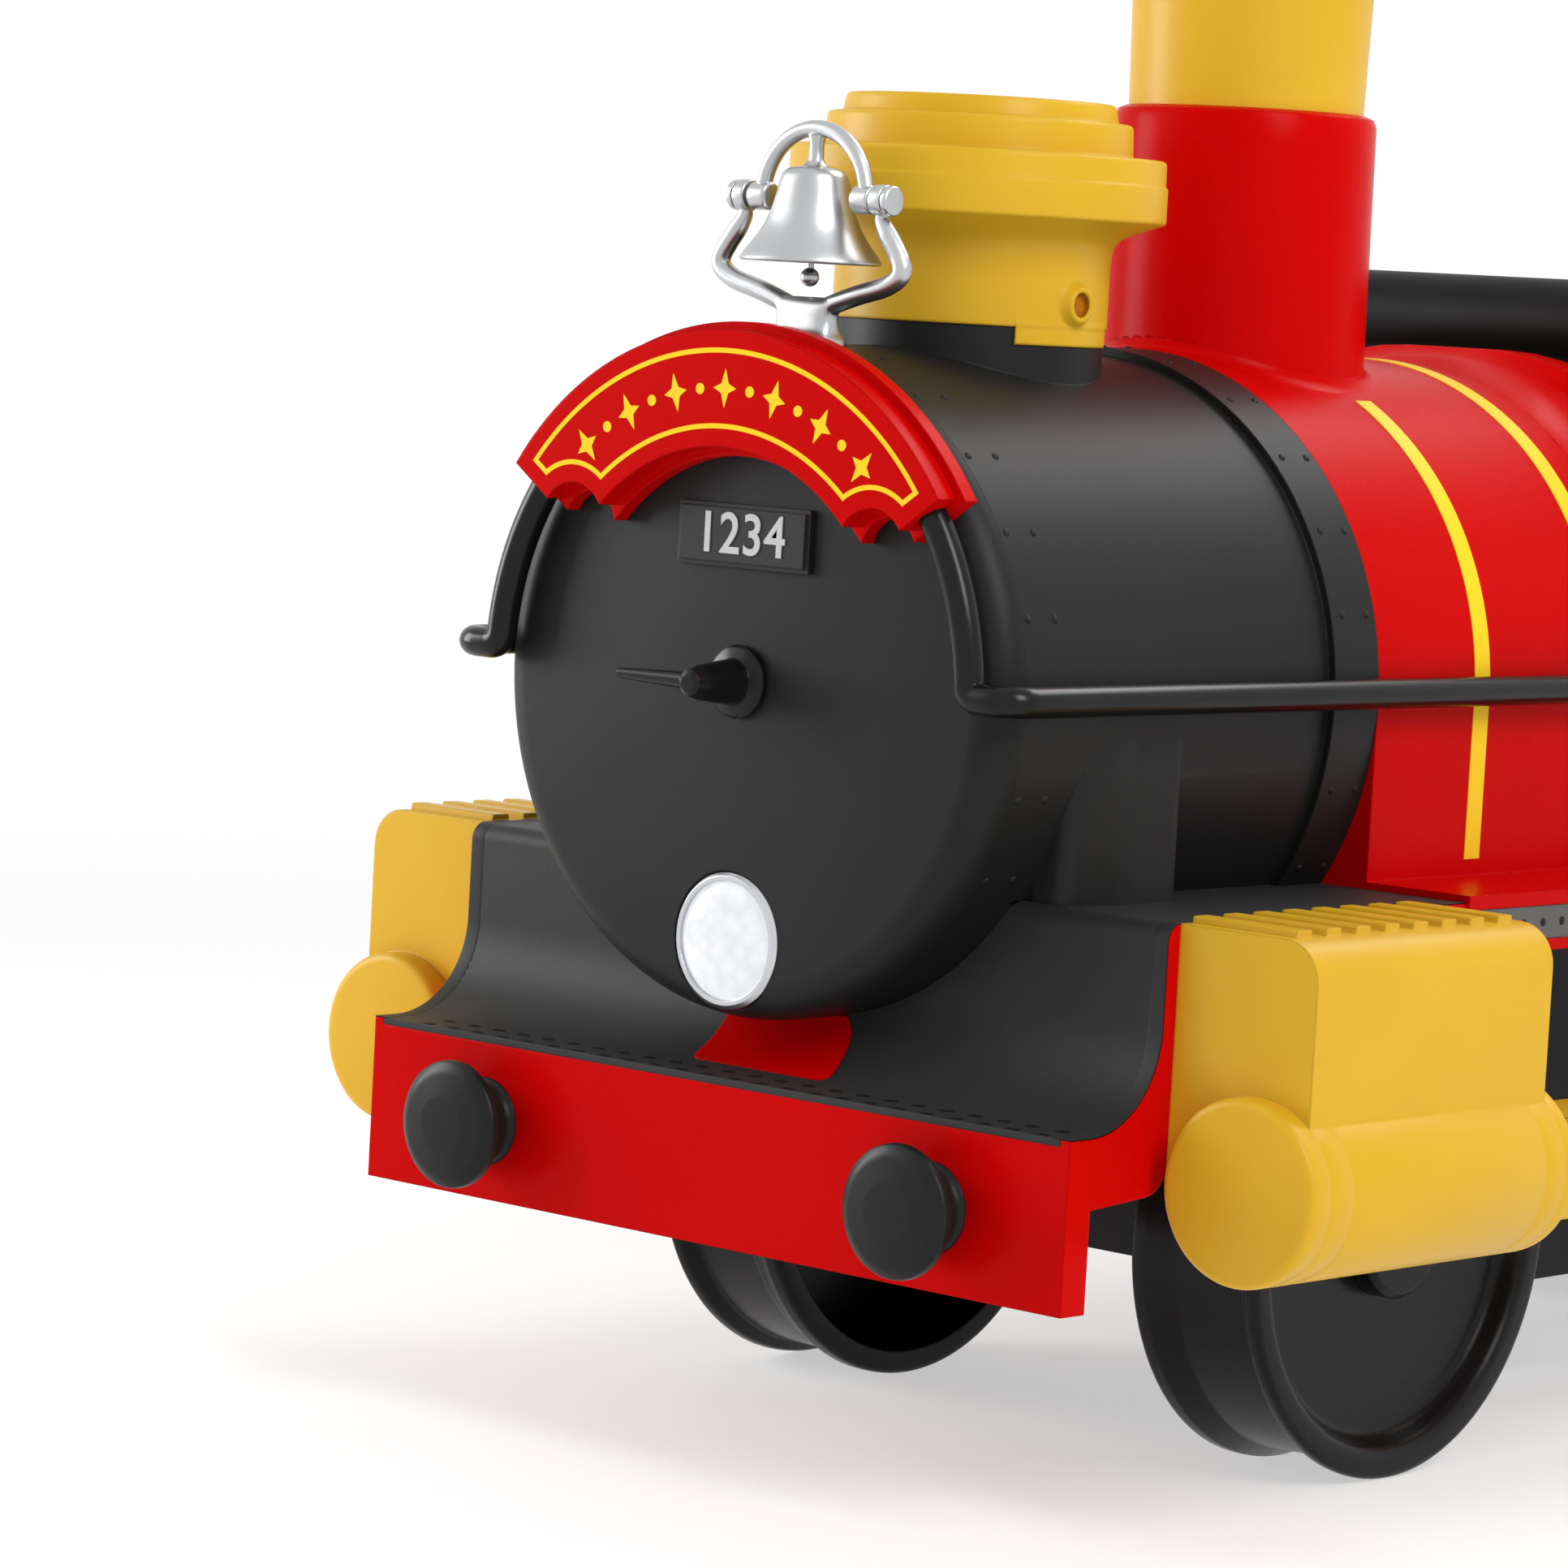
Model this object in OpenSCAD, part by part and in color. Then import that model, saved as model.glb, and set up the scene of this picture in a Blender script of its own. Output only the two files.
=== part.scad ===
// Battery ride-on steam train. Front faces -Y, floor at z = 0, origin under the middle of the train.

/* [Layout] */
// Gap between the smokebox and the lip of the apron
drum_gap = 18.5; // [14:0.5:24]
// Reach of the buffer faces ahead of the front beam
buffer_reach = 22; // [18:1:30]
// Reach of the front beam ahead of the smokebox ring
beam_reach = 20; // [16:1:26]
// Length of the black smokebox
smokebox_len = 188; // [178:1:220]
// Length of the red boiler barrel
boiler_len = 160; // [150:1:200]
// Length of the flare in front of the cowl
flare_len = 30; // [24:1:40]
// Length of the cowl that carries the handlebar
cowl_len = 64; // [60:1:80]
// Length of the seat
seat_len = 250; // [235:1:290]
// Length of the bunker behind the backrest
bunker_len = 100; // [80:1:130]

/* [Chassis] */
// Distance of the beam's ends outside the wheels
beam_side = 21; // [18:1:30]
// Height of the front and rear beams
beam_h = 55; // [45:1:65]
// Drop of the front beam's top below the deck
beam_drop = 68; // [62:1:74]
// Thickness of the front and rear beams
beam_t = 12; // [10:1:16]
// Gap between the wheels and the deck
wheel_gap = 28; // [24:1:34]
// Thickness of the deck plate
deck_t = 6; // [4:0.5:8]
// Width of the side rails and cheeks
cheek_t = 4; // [3:0.5:12]
// Depth of the side rails
rail_h = 16; // [14:1:22]
// Distance from the beam's face to the upright of the apron
apron_back = 44; // [42:0.5:56]
// Radius of the apron's concave sweep
sweep_r = 34; // [30:0.5:40]
// Thickness of the apron and footplate moulding
apron_t = 2.5; // [2:0.25:3.5]
// Rounding of the footplate's front edge
apron_edge = 6; // [3:0.5:9]
// Height of the lip at the foot of each side rail
lip_h = 4; // [3:0.5:6]
// Overhang of that lip and of the running boards
lip_out = 1.5; // [1:0.25:3]
// Thickness of the running boards
board_t = 5; // [4:0.5:8]
// Thickness of the riveted strips
strip_t = 1; // [0.6:0.1:1.4]

/* [Boiler] */
// Diameter of the smokebox
smokebox_d = 230; // [222:1:236]
// Wall of the body mouldings
wall = 3; // [2.5:0.25:4]
// Length of the smokebox rear band
band_len = 25; // [15:1:35]
// Height of that band over the drum
band_proud = 3; // [1:0.5:4]
// Length of the smokebox saddle behind the apron
saddle_len = 56; // [40:1:70]
// Height of the cowl's crown above the boiler
cowl_up = 6; // [3:0.5:10]
// Shoulder radius of the cowl
cowl_r = 120; // [80:1:122]
// How far the door stands ahead of the smokebox ring
door_proud = 13; // [10:0.5:18]

/* [Front fittings] */
// Diameter of the headlamp
lamp_d = 47; // [40:0.5:47]
// Gap between the headlamp and the smokebox's edge
lamp_edge = 3.5; // [2:0.5:12]
// Reach of the headlamp ahead of the door
lamp_proud = 1; // [0.5:0.5:8]
// Width of the number plate
plate_w = 57; // [45:0.5:65]
// Height of the number plate
plate_h = 18.4; // [14:0.2:22]
// Drop of the number plate's middle below the name board
plate_drop = 30; // [25:0.5:36]
// Thickness of the number plate with its pad
plate_t = 3; // [2:0.25:5]
// Reach of the name board beyond the smokebox
name_over = 3; // [1:0.5:6]
// Width of the name board
name_w = 39; // [34:0.5:44]
// Angle of the name board's ends above the horizontal
name_end = 35; // [30:0.5:40]
// Thickness of the name board's front layer
name_t = 9; // [6:0.5:12]
// Thickness of the name board's wider back layer
name_back_t = 6; // [4:0.5:8]
// Step between the name board's layers
name_step = 3; // [2:0.5:4]
// Radius of the scallops at the name board's ends
scallop_r = 15; // [13:0.5:17]
// Length of the door handle's lever
dart_len = 39; // [28:1:50]
// Diameter of the door handle's base
dart_d = 25; // [20:1:30]
// Reach of the door handle's boss
dart_reach = 26; // [20:1:32]
// Diameter of the buffer heads
buffer_d = 45; // [38:1:52]
// Distance of the buffers' axes from the beam's ends
buffer_in = 57.5; // [50:0.5:66]
// Diameter of the handrails
rail_d = 12.5; // [10:0.5:14]
// Gap between the handrail and the boiler side
rail_gap = 5.75; // [5:0.25:9]
// Distance of the handrail's front leg ahead of the door
rail_front = 11; // [9:0.5:14]
// Height of the handrail above the boiler axis
rail_rise = 2; // [-4:0.5:6]

/* [Bell and dome] */
// Distance of the bell behind the smokebox ring
bell_back = 11; // [9:0.5:13]
// Height of the bell's pivot above the smokebox
bell_up = 48.7; // [46:0.1:54]
// Diameter of the bell's mouth
bell_d = 48; // [44:0.5:50]
// Wall of the bell
bell_wall = 2.2; // [1.6:0.1:2.6]
// Radius of the yoke's arch
yoke_r = 23.5; // [22:0.5:25]
// Diameter of the trunnions
trunnion_d = 6; // [5:0.5:7]
// Diameter of the bracket's arms
arm_d = 7; // [6:0.5:8]
// Distance of the dome behind the smokebox ring
dome_back = 95; // [92:0.5:110]
// Diameter of the dome's flange
dome_d = 133; // [124:1:136]
// Diameter of the dome's neck
dome_neck_d = 96; // [90:1:104]
// Height of the dome's top above the smokebox
dome_up = 87; // [82:0.5:100]
// Height of the dome's seat above the smokebox
dome_lift = 9; // [6:0.5:14]
// Distance of the chimney behind the front of the red boiler
chimney_back = 56; // [54:0.5:90]
// Diameter of the chimney base
chimney_d = 96; // [92:0.5:102]
// Height of the chimney base above the boiler
base_up = 88.5; // [72:0.5:100]
// Diameter of the stack at its foot
stack_d = 86; // [76:0.5:87]
// Height of the stack above the chimney base
stack_up = 81.5; // [60:0.5:100]
// Wall of the stack
stack_wall = 3; // [2:0.25:4]

/* [Cylinders and footrests] */
// Distance of the cylinder block behind the smokebox ring
cyl_back = 30; // [26:0.5:34]
// Length of the cylinder block
cyl_len = 130; // [120:0.5:150]
// Width of the cylinder block
cyl_w = 57; // [50:0.5:64]
// Radius of the round cylinder
cyl_r = 31; // [28:0.5:34]
// Drop of the round cylinder's axis below the deck
cyl_drop = 80.5; // [76:0.5:86]
// Distance of that axis outside the beam's end
cyl_out = 37; // [35:0.5:40]
// Wall of the cylinder block
cyl_wall = 2.5; // [2:0.25:3.5]
// Width of the footrest
step_w = 44; // [38:1:52]
// Depth of the footrest bar
step_t = 32; // [24:1:36]
// Drop of the footrest below the deck
step_drop = 70; // [64:1:76]
// Length of the footrest
step_len = 250; // [220:1:300]

/* [Running gear] */
// Diameter of the wheels
wheel_d = 170; // [160:1:180]
// Width of the wheels
wheel_w = 55; // [48:0.5:60]
// Distance of the front axle behind the smokebox ring
axle_back = 194; // [185:1:205]
// Distance between the axles
wheelbase = 396; // [380:1:420]
// Diameter of the axles
axle_d = 12; // [10:0.5:14]
// Gap between the under frame and the wheels
frame_gap = 13; // [10:0.5:18]
// Wall of the under frame
frame_t = 4; // [3:0.25:5]
// Diameter of the hub caps
cap_d = 42; // [36:0.5:48]
// Gear module
gear_m = 1; // [0.9:0.05:1.1]
// Width of the wide gears
gear_w = 10; // [8:0.5:12]
// Diameter of the motor can
motor_d = 36; // [30:0.5:38]
// Length of the motor can
motor_len = 57; // [45:1:60]
// Gap between the motor and the under frame
motor_gap = 10; // [6:0.5:16]
// Length of the battery
battery_l = 70; // [60:1:80]
// Width of the battery
battery_w = 47; // [40:1:60]
// Height of the battery
battery_h = 101; // [90:1:110]

/* [Seat and controls] */
// Width of the seat box
seat_box_w = 210; // [190:1:230]
// Height of the seat box above the deck
seat_box_up = 63; // [52:1:72]
// Overhang of the seat beyond its box
seat_over = 5; // [2:0.5:10]
// Thickness of the seat
seat_t = 33; // [26:1:40]
// Depth of the hollow in the seat
seat_dish = 8; // [4:0.5:12]
// Width of the bunker
bunker_w = 250; // [230:1:270]
// Height of the bunker above the deck
bunker_up = 218; // [200:1:240]
// Distance of the backrest's sides inside the bunker's
back_in = 30; // [22:1:44]
// Thickness of the backrest
back_t = 14; // [10:1:20]
// Drop of the backrest's top below the bunker's
back_down = 14; // [10:1:24]
// Diameter of the handlebar tube
bar_d = 22; // [18:0.5:24]
// Diameter of the handlebar sleeve
grip_d = 33; // [28:0.5:36]
// Height of the handlebar above the cowl's crown
bar_up = 12; // [8:1:26]
// Distance of the handlebar ahead of the cowl's rear face
bar_ahead = 18; // [16:0.5:20]
// Distance of the handlebar's legs outside the hand space
leg_gap = 17; // [16:0.5:22]
// Radius of the handlebar's bends
bar_bend = 28; // [24:0.5:34]
// Thickness of the cowl ahead of the hand space
cowl_lip = 14; // [10:0.5:16]
// Distance of the handlebar's legs inside the cowl's sides
leg_in = 26; // [22:1:32]
// Depth of the hand space below the cowl's crown
hand_deep = 58; // [52:1:66]
// Slope of the console in degrees
console_tilt = 20; // [12:1:26]
// Height of the console
console_h = 14; // [12:0.5:18]
// Wall of the console
console_t = 3; // [2:0.25:4]
// Diameter of the go button
go_d = 28; // [22:0.5:30]
// Diameter of the sound buttons
sound_d = 18; // [14:0.5:20]
// Travel of the buttons
button_travel = 2.5; // [1.5:0.25:3]

/* [Fits] */
// Running clearance of shafts in their holes, on the radius
run_fit = 0.05; // [0.03:0.01:0.09]
// Gap between fixed curved pieces
seat_gap = 0.2; // [0.1:0.05:0.4]
// Gap beside turning and sliding pieces
side_gap = 0.4; // [0.3:0.05:0.8]

/* [Hidden] */
$fn = 72;
fine_fn = 720;
loft_fn = 14;
hair = 0.01;
red = [0.80, 0.03, 0.02];
yellow = [0.93, 0.76, 0.20];
black = [0.10, 0.10, 0.10];
grey = [0.26, 0.26, 0.27];
silver = [0.70, 0.71, 0.73];
steel = [0.60, 0.61, 0.63];
nylon = [0.88, 0.87, 0.82];

// Stations along the train
overall_len = buffer_reach + beam_reach + smokebox_len + boiler_len + flare_len + cowl_len
    + seat_len + bunker_len + beam_t;
beam_y = buffer_reach - overall_len / 2;
ring_y = beam_y + beam_reach;
boiler_y = ring_y + smokebox_len;
flare_y = boiler_y + boiler_len;
cowl_y = flare_y + flare_len;
seat_y = cowl_y + cowl_len;
bunker_y = seat_y + seat_len;
tail_y = bunker_y + bunker_len;
rear_y = tail_y + beam_t;
door_y = ring_y - door_proud;

// Widths from the motor outwards
case_t = 3;
case_x = 3;
motor_tail = 4;
frame_hw = motor_len + motor_tail - case_x + motor_gap + frame_t;
frame_w = 2 * frame_hw;
wheel_in = frame_hw + frame_gap;
wheel_x = wheel_in + wheel_w;
beam_hw = wheel_x + beam_side;
beam_w = 2 * beam_hw;
cheek_x = beam_hw - cheek_t;
edge_x = beam_hw + lip_out;
buffer_x = beam_hw - buffer_in;

// Heights from the wheels upwards
axle_z = wheel_d / 2;
deck_h = wheel_d + wheel_gap + deck_t;
beam_top = deck_h - beam_drop;
beam_low = beam_top - beam_h;
cheek_low = beam_top - 22;
lip_z = beam_top + apron_t;
sweep_z = lip_z + sweep_r;
foot_z = deck_h + apron_t;
rail_low = deck_h - rail_h;
board_z = deck_h + board_t;
cyl_h = deck_h - cyl_drop;
step_h = deck_h - step_drop;
seat_box_h = deck_h + seat_box_up;
bunker_h = deck_h + bunker_up;

// Chassis
cheek_soft = 10;
cheek_rise = 3;
upright_y = beam_y + apron_back;
sweep_y = upright_y - sweep_r;

// Boiler
drum_r = smokebox_d / 2;
axis_h = lip_z + drum_gap + drum_r;
drum_top = axis_h + drum_r;
saddle_hw = drum_r - 2;
saddle_soft = 6;
barrel_r = drum_r + band_proud;
barrel_w = 2 * barrel_r;
barrel_top = axis_h + barrel_r;
cowl_rise = barrel_r + cowl_up;
name_out = drum_r + name_over;
name_in = name_out - name_w;
plate_rise = name_in - plate_drop;
lamp_drop = drum_r - lamp_d / 2 - lamp_edge;
dome_top = drum_r + dome_up;
dome_seat = drum_r + dome_lift;
chimney_base_top = barrel_r + base_up;
stack_top = chimney_base_top + stack_up;
dome_y = ring_y + dome_back;
dome_neck_r = dome_neck_d / 2;
dome_in_r = dome_neck_r - 4;
tab_hw = dome_neck_r / 2;
tab_drop = 6;
collar_lip = 20;
collar_wall = 8;
screw_rise = 8.5;
dome_boss_r = 7;
dome_boss_bore = 4.2;
dome_boss_out = 3;
screw_r = 2.5;
dome_screw_z = axis_h + dome_seat + screw_rise;
chimney_y = boiler_y + chimney_back;
chimney_r = chimney_d / 2;
stack_r = stack_d / 2;
socket_depth = 20;

// Bell
bell_y = ring_y + bell_back;
pivot_z = drum_top + bell_up;
bell_r = bell_d / 2;
bell_drop = 21.7;
bell_crown = 10.5;
trunnion_r = trunnion_d / 2;
hub_ball_r = trunnion_r + 1.2;
arm_r = arm_d / 2;
boss_r = trunnion_r + 3;
boss_x = yoke_r + 7.5;
boss_hw = 2.5;
knee_x = boss_x + 10.5;
knee_z = pivot_z - 22.7;
crotch_z = pivot_z - 35.2;
foot_hw = 16;
foot_hl = 9;
ball_r = 3.2;
ball_drop = 26.7;
clapper_z = pivot_z + 5;
pin_hw = 9;
clapper_pin_r = 1;
eye_r = 2.4;
eye_hw = 2.5;

// Cylinders
cyl_soft = 9;
cyl_heel = 18;
cyl_over = 10;
cyl_tail = 7;
drum_soft = 5;
band_in = 15;
band_w = 12;
band_up = 0.5;

// Running gear
axle_r = axle_d / 2;
bore_r = axle_r + run_fit;
front_axle_y = ring_y + axle_back;
rear_axle_y = front_axle_y + wheelbase;
wheel_r = wheel_d / 2;
tread_r = wheel_r - 3;
recess_r = wheel_r - 8;
recess_deep = 9;
web_t = 5;
web_x = wheel_x - recess_deep;
hub_r = axle_r + 9;
barrel_in = wheel_r - 9;
axle_end = wheel_x - 3;
cap_end = wheel_x + 0.5;
bush_wall = 3;
bush_lip = 4;
bush_r = axle_r + bush_wall;

// Gears
drive_n = 60;
small_n = 12;
big_n = 48;
pinion_n = 12;
tip = 0.75;
root = 1.25;
drive_tip_r = gear_m * (drive_n / 2 + tip);
big_tip_r = gear_m * (big_n / 2 + tip);
pinion_tip_r = gear_m * (pinion_n / 2 + tip);
idler_y = rear_axle_y + gear_m * (drive_n + small_n) / 2;
motor_y = idler_y + gear_m * (big_n + pinion_n) / 2;
case_gap = 3;
wide_x = case_x + case_t + 2;
big_x = wide_x + gear_w + 1;
big_w = 8;
cover_x = big_x + big_w + 2;
case_low = axle_z - drive_tip_r - case_gap - case_t;
case_top = axle_z + drive_tip_r + case_gap + case_t;
case_y0 = rear_axle_y - drive_tip_r - case_gap - case_t;
case_y1 = max(motor_y + pinion_tip_r, idler_y + big_tip_r) + case_gap + case_t;
pin_r = 2.5;
shaft_r = 1.6;
shaft_in = 12;
frame_floor = case_low;
frame_low = frame_floor - frame_t;
frame_top = deck_h - deck_t;
axle_seat = 15;
nose_low = axle_z - axle_seat;
nose_y = front_axle_y + 0.35 * wheelbase;
frame_y0 = front_axle_y - 44;
frame_y1 = motor_y + motor_d / 2 + 14;
flange_hw = frame_hw + 16;
flange_t = 6;
screw_bite = deck_t - 2;
battery_gap = 23.25;
battery_y = case_y0 - battery_gap - battery_l;
clamp_t = 2;
clamp_hw = 8;
clamp_foot = 14;

// Console, from the speaker outwards
speaker_r = 19;
slat_pitch = 5;
slat_n = 3;
grille_hw = slat_n * slat_pitch + 1;
switch_w = 20;
switch_l = 28;
whistle_x = -grille_hw - 9 - sound_d / 2;
go_x = whistle_x - sound_d / 2 - 9 - go_d / 2;
bell_button_x = grille_hw + 11 + sound_d / 2;
switch_x = bell_button_x + sound_d / 2 + 13 + switch_w / 2;
console_hw = go_d / 2 - go_x + 13;
hand_hw = console_hw + 2;
leg_x = hand_hw + leg_gap;
cowl_hw = leg_x + leg_in;

// Seat and handlebar
seat_w = seat_box_w + 2 * seat_over;
back_w = bunker_w - 2 * back_in;
back_low = seat_box_h + seat_t + 8;
back_h = bunker_h - back_down - back_low;
bunker_soft = 22;
bunker_shoulder = 46;
hand_y = cowl_y + cowl_lip;
hand_z = axis_h + cowl_rise - hand_deep;
hand_len = (seat_y - hand_y) / cos(console_tilt);
bar_y = seat_y - bar_ahead;
bar_z = axis_h + cowl_rise + bar_up;
bar_r = bar_d / 2;
leg_foot = hand_z - 46;
socket_r = bar_r + 4;
console_len = hand_len - 4;
button_y = console_len / 2;
board_thick = 1.6;
flange_over = 1.6;
cap_up = 4;
flange_z = console_h - console_t - side_gap;
switch_pivot = console_h - 2;

// Helpers

module block(lo, hi) {
  translate(lo) cube(hi - lo);
}

module pair() {
  children();
  mirror([1, 0, 0]) children();
}

module rod_x(x0, x1, y, z, r) {
  translate([x0, y, z]) rotate([0, 90, 0]) cylinder(h = x1 - x0, r = r);
}

module rod_y(y0, y1, x, z, r) {
  translate([x, y0, z]) rotate([-90, 0, 0]) cylinder(h = y1 - y0, r = r);
}

module rod_z(z0, z1, x, y, r) {
  translate([x, y, z0]) cylinder(h = z1 - z0, r = r);
}

// Straight round bar between two points of the plane at y
module strut(a, b, y, r) {
  d = b - a;
  translate([a.x, y, a.y]) rotate([0, atan2(d.x, d.y), 0]) cylinder(h = norm(d), r = r);
}

// Round bar bent about the Z axis
module tube_arc(bend, turn, r) {
  rotate_extrude(angle = turn) translate([bend, 0]) circle(r);
}

// Turned piece whose profile (radius, height) runs forward from y
module turned_front(x, y, z) {
  translate([x, y, z]) rotate([90, 0, 0]) rotate_extrude() children();
}

// Turned piece whose profile (radius, height) runs along +X from x
module turned_x(x, y, z) {
  translate([x, y, z]) rotate([0, 90, 0]) rotate_extrude() children();
}

// Flat piece drawn in (x, z), from y forward by t
module plate_front(y, t) {
  translate([0, y, 0]) rotate([90, 0, 0]) linear_extrude(t) children();
}

// Flat piece drawn in (y, z), from x0 to x1
module slab_x(x0, x1) {
  translate([x0, 0, 0]) rotate([90, 0, 90]) linear_extrude(x1 - x0) children();
}

// Rectangle with round corners
module soft_rect(lo, hi, r) {
  translate(lo + [r, 0]) square(hi - lo - [2 * r, 0]);
  translate(lo + [0, r]) square(hi - lo - [0, 2 * r]);
  for (x = [lo.x + r, hi.x - r], y = [lo.y + r, hi.y - r]) translate([x, y]) circle(r);
}

// Tall block with round upright edges and a round-shouldered top
module soft_box(lo, hi, r, shoulder) {
  intersection() {
    translate([0, 0, lo.z]) linear_extrude(hi.z - lo.z) soft_rect([lo.x, lo.y], [hi.x, hi.y], r);
    plate_front(hi.y, hi.y - lo.y) {
      soft_rect([lo.x, lo.z], [hi.x, hi.z], shoulder);
      translate([lo.x, lo.z]) square([hi.x - lo.x, (hi.z - lo.z) / 2]);
    }
  }
}

// Arch outline of half width hw, crown height top and shoulder radius r
function arch(hw, top, r, base) = let (
    side = [for (i = [0:loft_fn]) [hw - r + r * cos(90 * i / loft_fn), top - r + r * sin(90 * i / loft_fn)]],
    count = len(side)
  ) concat(
    [[hw, base]],
    side,
    [for (i = [count - 1:-1:0]) [-side[i].x, side[i].y]],
    [[-hw, base]]
  );

// Solid through a list of rings that have equal counts of points
module loft(rings) {
  n = len(rings[0]);
  m = len(rings);
  points = [for (ring = rings) each ring];
  sides = [for (i = [0:m - 2], j = [0:n - 1]) let (k = (j + 1) % n)
    each [[i * n + j, i * n + k, (i + 1) * n + k], [i * n + j, (i + 1) * n + k, (i + 1) * n + j]]];
  front = [[for (j = [n - 1:-1:0]) j]];
  back = [[for (j = [0:n - 1]) (m - 1) * n + j]];
  polyhedron(points = points, faces = concat(sides, front, back));
}

// Gear outline with straight-flanked teeth
module gear_2d(teeth) {
  pitch = 360 / teeth;
  r_tip = gear_m * (teeth / 2 + tip);
  r_root = gear_m * (teeth / 2 - root);
  polygon([for (i = [0:teeth - 1], c = [[-0.29, r_root], [-0.11, r_tip], [0.11, r_tip], [0.29, r_root]])
    c[1] * [cos((i + c[0]) * pitch), sin((i + c[0]) * pitch)]]);
}

// Gear on an axis along X
module gear_x(x, w, y, teeth, turn) {
  translate([x, y, axle_z]) rotate([90, 0, 90]) rotate(turn) linear_extrude(w) gear_2d(teeth);
}

// Chassis

// Open air ahead of the apron, moved in by a skin thickness
module apron_air(x, skin) {
  rod_x(-x, x, sweep_y, sweep_z, sweep_r + skin);
  block([-x, beam_y - 1, lip_z - skin], [x, sweep_y, axis_h]);
  block([-x, sweep_y - hair, sweep_z], [x, upright_y + skin, axis_h]);
}

module front_footplate() {
  hw = cheek_x - seat_gap;
  color(grey) difference() {
    block([-hw, beam_y, beam_top], [hw, boiler_y, foot_z]);
    apron_air(beam_hw, 0);
    difference() {
      block([-beam_hw, beam_y + beam_t, beam_top - 1], [beam_hw, boiler_y + 1, deck_h]);
      apron_air(beam_w, apron_t);
    }
    difference() {
      block([-beam_hw, upright_y - 1, foot_z - apron_edge], [beam_hw, upright_y + apron_edge, foot_z + 1]);
      rod_x(-beam_w, beam_w, upright_y + apron_edge, foot_z - apron_edge, apron_edge);
    }
  }
}

module cheek() {
  cheek_corner = [upright_y + apron_edge - cheek_soft, cheek_low + cheek_rise + cheek_soft];
  difference() {
    union() {
      slab_x(cheek_x, beam_hw) polygon(concat(
        [[beam_y, foot_z], [beam_y, cheek_low]],
        [for (i = [0:4]) cheek_corner + cheek_soft * [sin(22.5 * i), -cos(22.5 * i)]],
        [[upright_y + apron_edge, foot_z]]
      ));
      block([cheek_x, upright_y, rail_low], [beam_hw, boiler_y, foot_z]);
      block([cheek_x, upright_y, rail_low], [beam_hw, tail_y + 1, deck_h]);
    }
    apron_air(beam_w, 0);
    difference() {
      block([0, upright_y - 1, foot_z - apron_edge], [beam_w, upright_y + apron_edge, foot_z + 1]);
      rod_x(-beam_w, beam_w, upright_y + apron_edge, foot_z - apron_edge, apron_edge);
    }
  }
  block([cheek_x, ring_y + cyl_back + cyl_len + 10, rail_low], [edge_x, tail_y, rail_low + lip_h]);
}

// Way through to the battery
module battery_hatch(z0, z1) {
  side = 8;
  hw = battery_w / 2 + side;
  block([-hw, battery_y - side, z0], [hw, battery_y + battery_l + side, z1]);
}

module chassis_frame() {
  color(red) {
    block([-beam_hw, beam_y, beam_low], [beam_hw, beam_y + beam_t, beam_top]);
    block([-beam_hw, tail_y, deck_h - beam_h], [beam_hw, rear_y, deck_h]);
    pair() cheek();
    difference() {
      block([-cheek_x - 1, upright_y + apron_t, frame_top], [cheek_x + 1, tail_y + 1, deck_h]);
      battery_hatch(frame_top - 1, deck_h + 1);
      for (p = screw_places()) rod_z(frame_top - 1, frame_top + screw_bite, p.x, p.y, screw_r + seat_gap);
    }
  }
}

module valance_strips() {
  color(steel) pair() block(
    [beam_hw, ring_y + cyl_back + cyl_len + 10, rail_low + lip_h],
    [beam_hw + strip_t, tail_y, deck_h]
  );
}

module under_frame() {
  color(black) difference() {
    union() {
      block([-frame_hw, frame_y0, nose_low], [frame_hw, frame_y1, frame_top]);
      block([-frame_hw, nose_y, frame_low], [frame_hw, frame_y1, frame_top]);
      block([-flange_hw, frame_y0, frame_top - flange_t], [flange_hw, frame_y1, frame_top]);
    }
    block([-frame_hw + frame_t, frame_y0 + frame_t, nose_low + frame_t],
      [frame_hw - frame_t, frame_y1 - frame_t, frame_top + 1]);
    block([-frame_hw + frame_t, nose_y + frame_t, frame_floor],
      [frame_hw - frame_t, frame_y1 - frame_t, frame_top + 1]);
    for (y = [front_axle_y, rear_axle_y]) rod_x(-frame_w, frame_w, y, axle_z, bush_r + run_fit);
    for (p = screw_places()) rod_z(frame_low, frame_top + 1, p.x, p.y, screw_r + seat_gap);
  }
}

function screw_places() = [for (x = [-1, 1], k = [0:2])
  [x * (frame_hw + 8), frame_y0 + 20 + k * (frame_y1 - frame_y0 - 40) / 2]];

module frame_screws() {
  color(steel) for (p = screw_places()) {
    rod_z(frame_top - flange_t, frame_top + screw_bite, p.x, p.y, screw_r);
    rod_z(frame_top - flange_t - 2.5, frame_top - flange_t, p.x, p.y, 2 * screw_r);
  }
}

// Smokebox

module smokebox_outside() {
  rod_y(ring_y, boiler_y, 0, axis_h, drum_r);
  rod_y(boiler_y - band_len, boiler_y, 0, axis_h, drum_r + band_proud);
  translate([0, 0, foot_z]) linear_extrude(axis_h - foot_z)
    soft_rect([-saddle_hw, upright_y + apron_edge], [saddle_hw, upright_y + saddle_len], saddle_soft);
  difference() {
    rod_z(axis_h, axis_h + dome_seat, 0, dome_y, dome_neck_r - 1);
    pair() block([dome_in_r - 2, dome_y - tab_hw - seat_gap, axis_h + dome_seat - tab_drop],
      [drum_r, dome_y + tab_hw + seat_gap, axis_h + dome_seat + 1]);
  }
  rod_z(axis_h, axis_h + dome_seat + collar_lip, 0, dome_y, dome_in_r - seat_gap);
}

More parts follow.
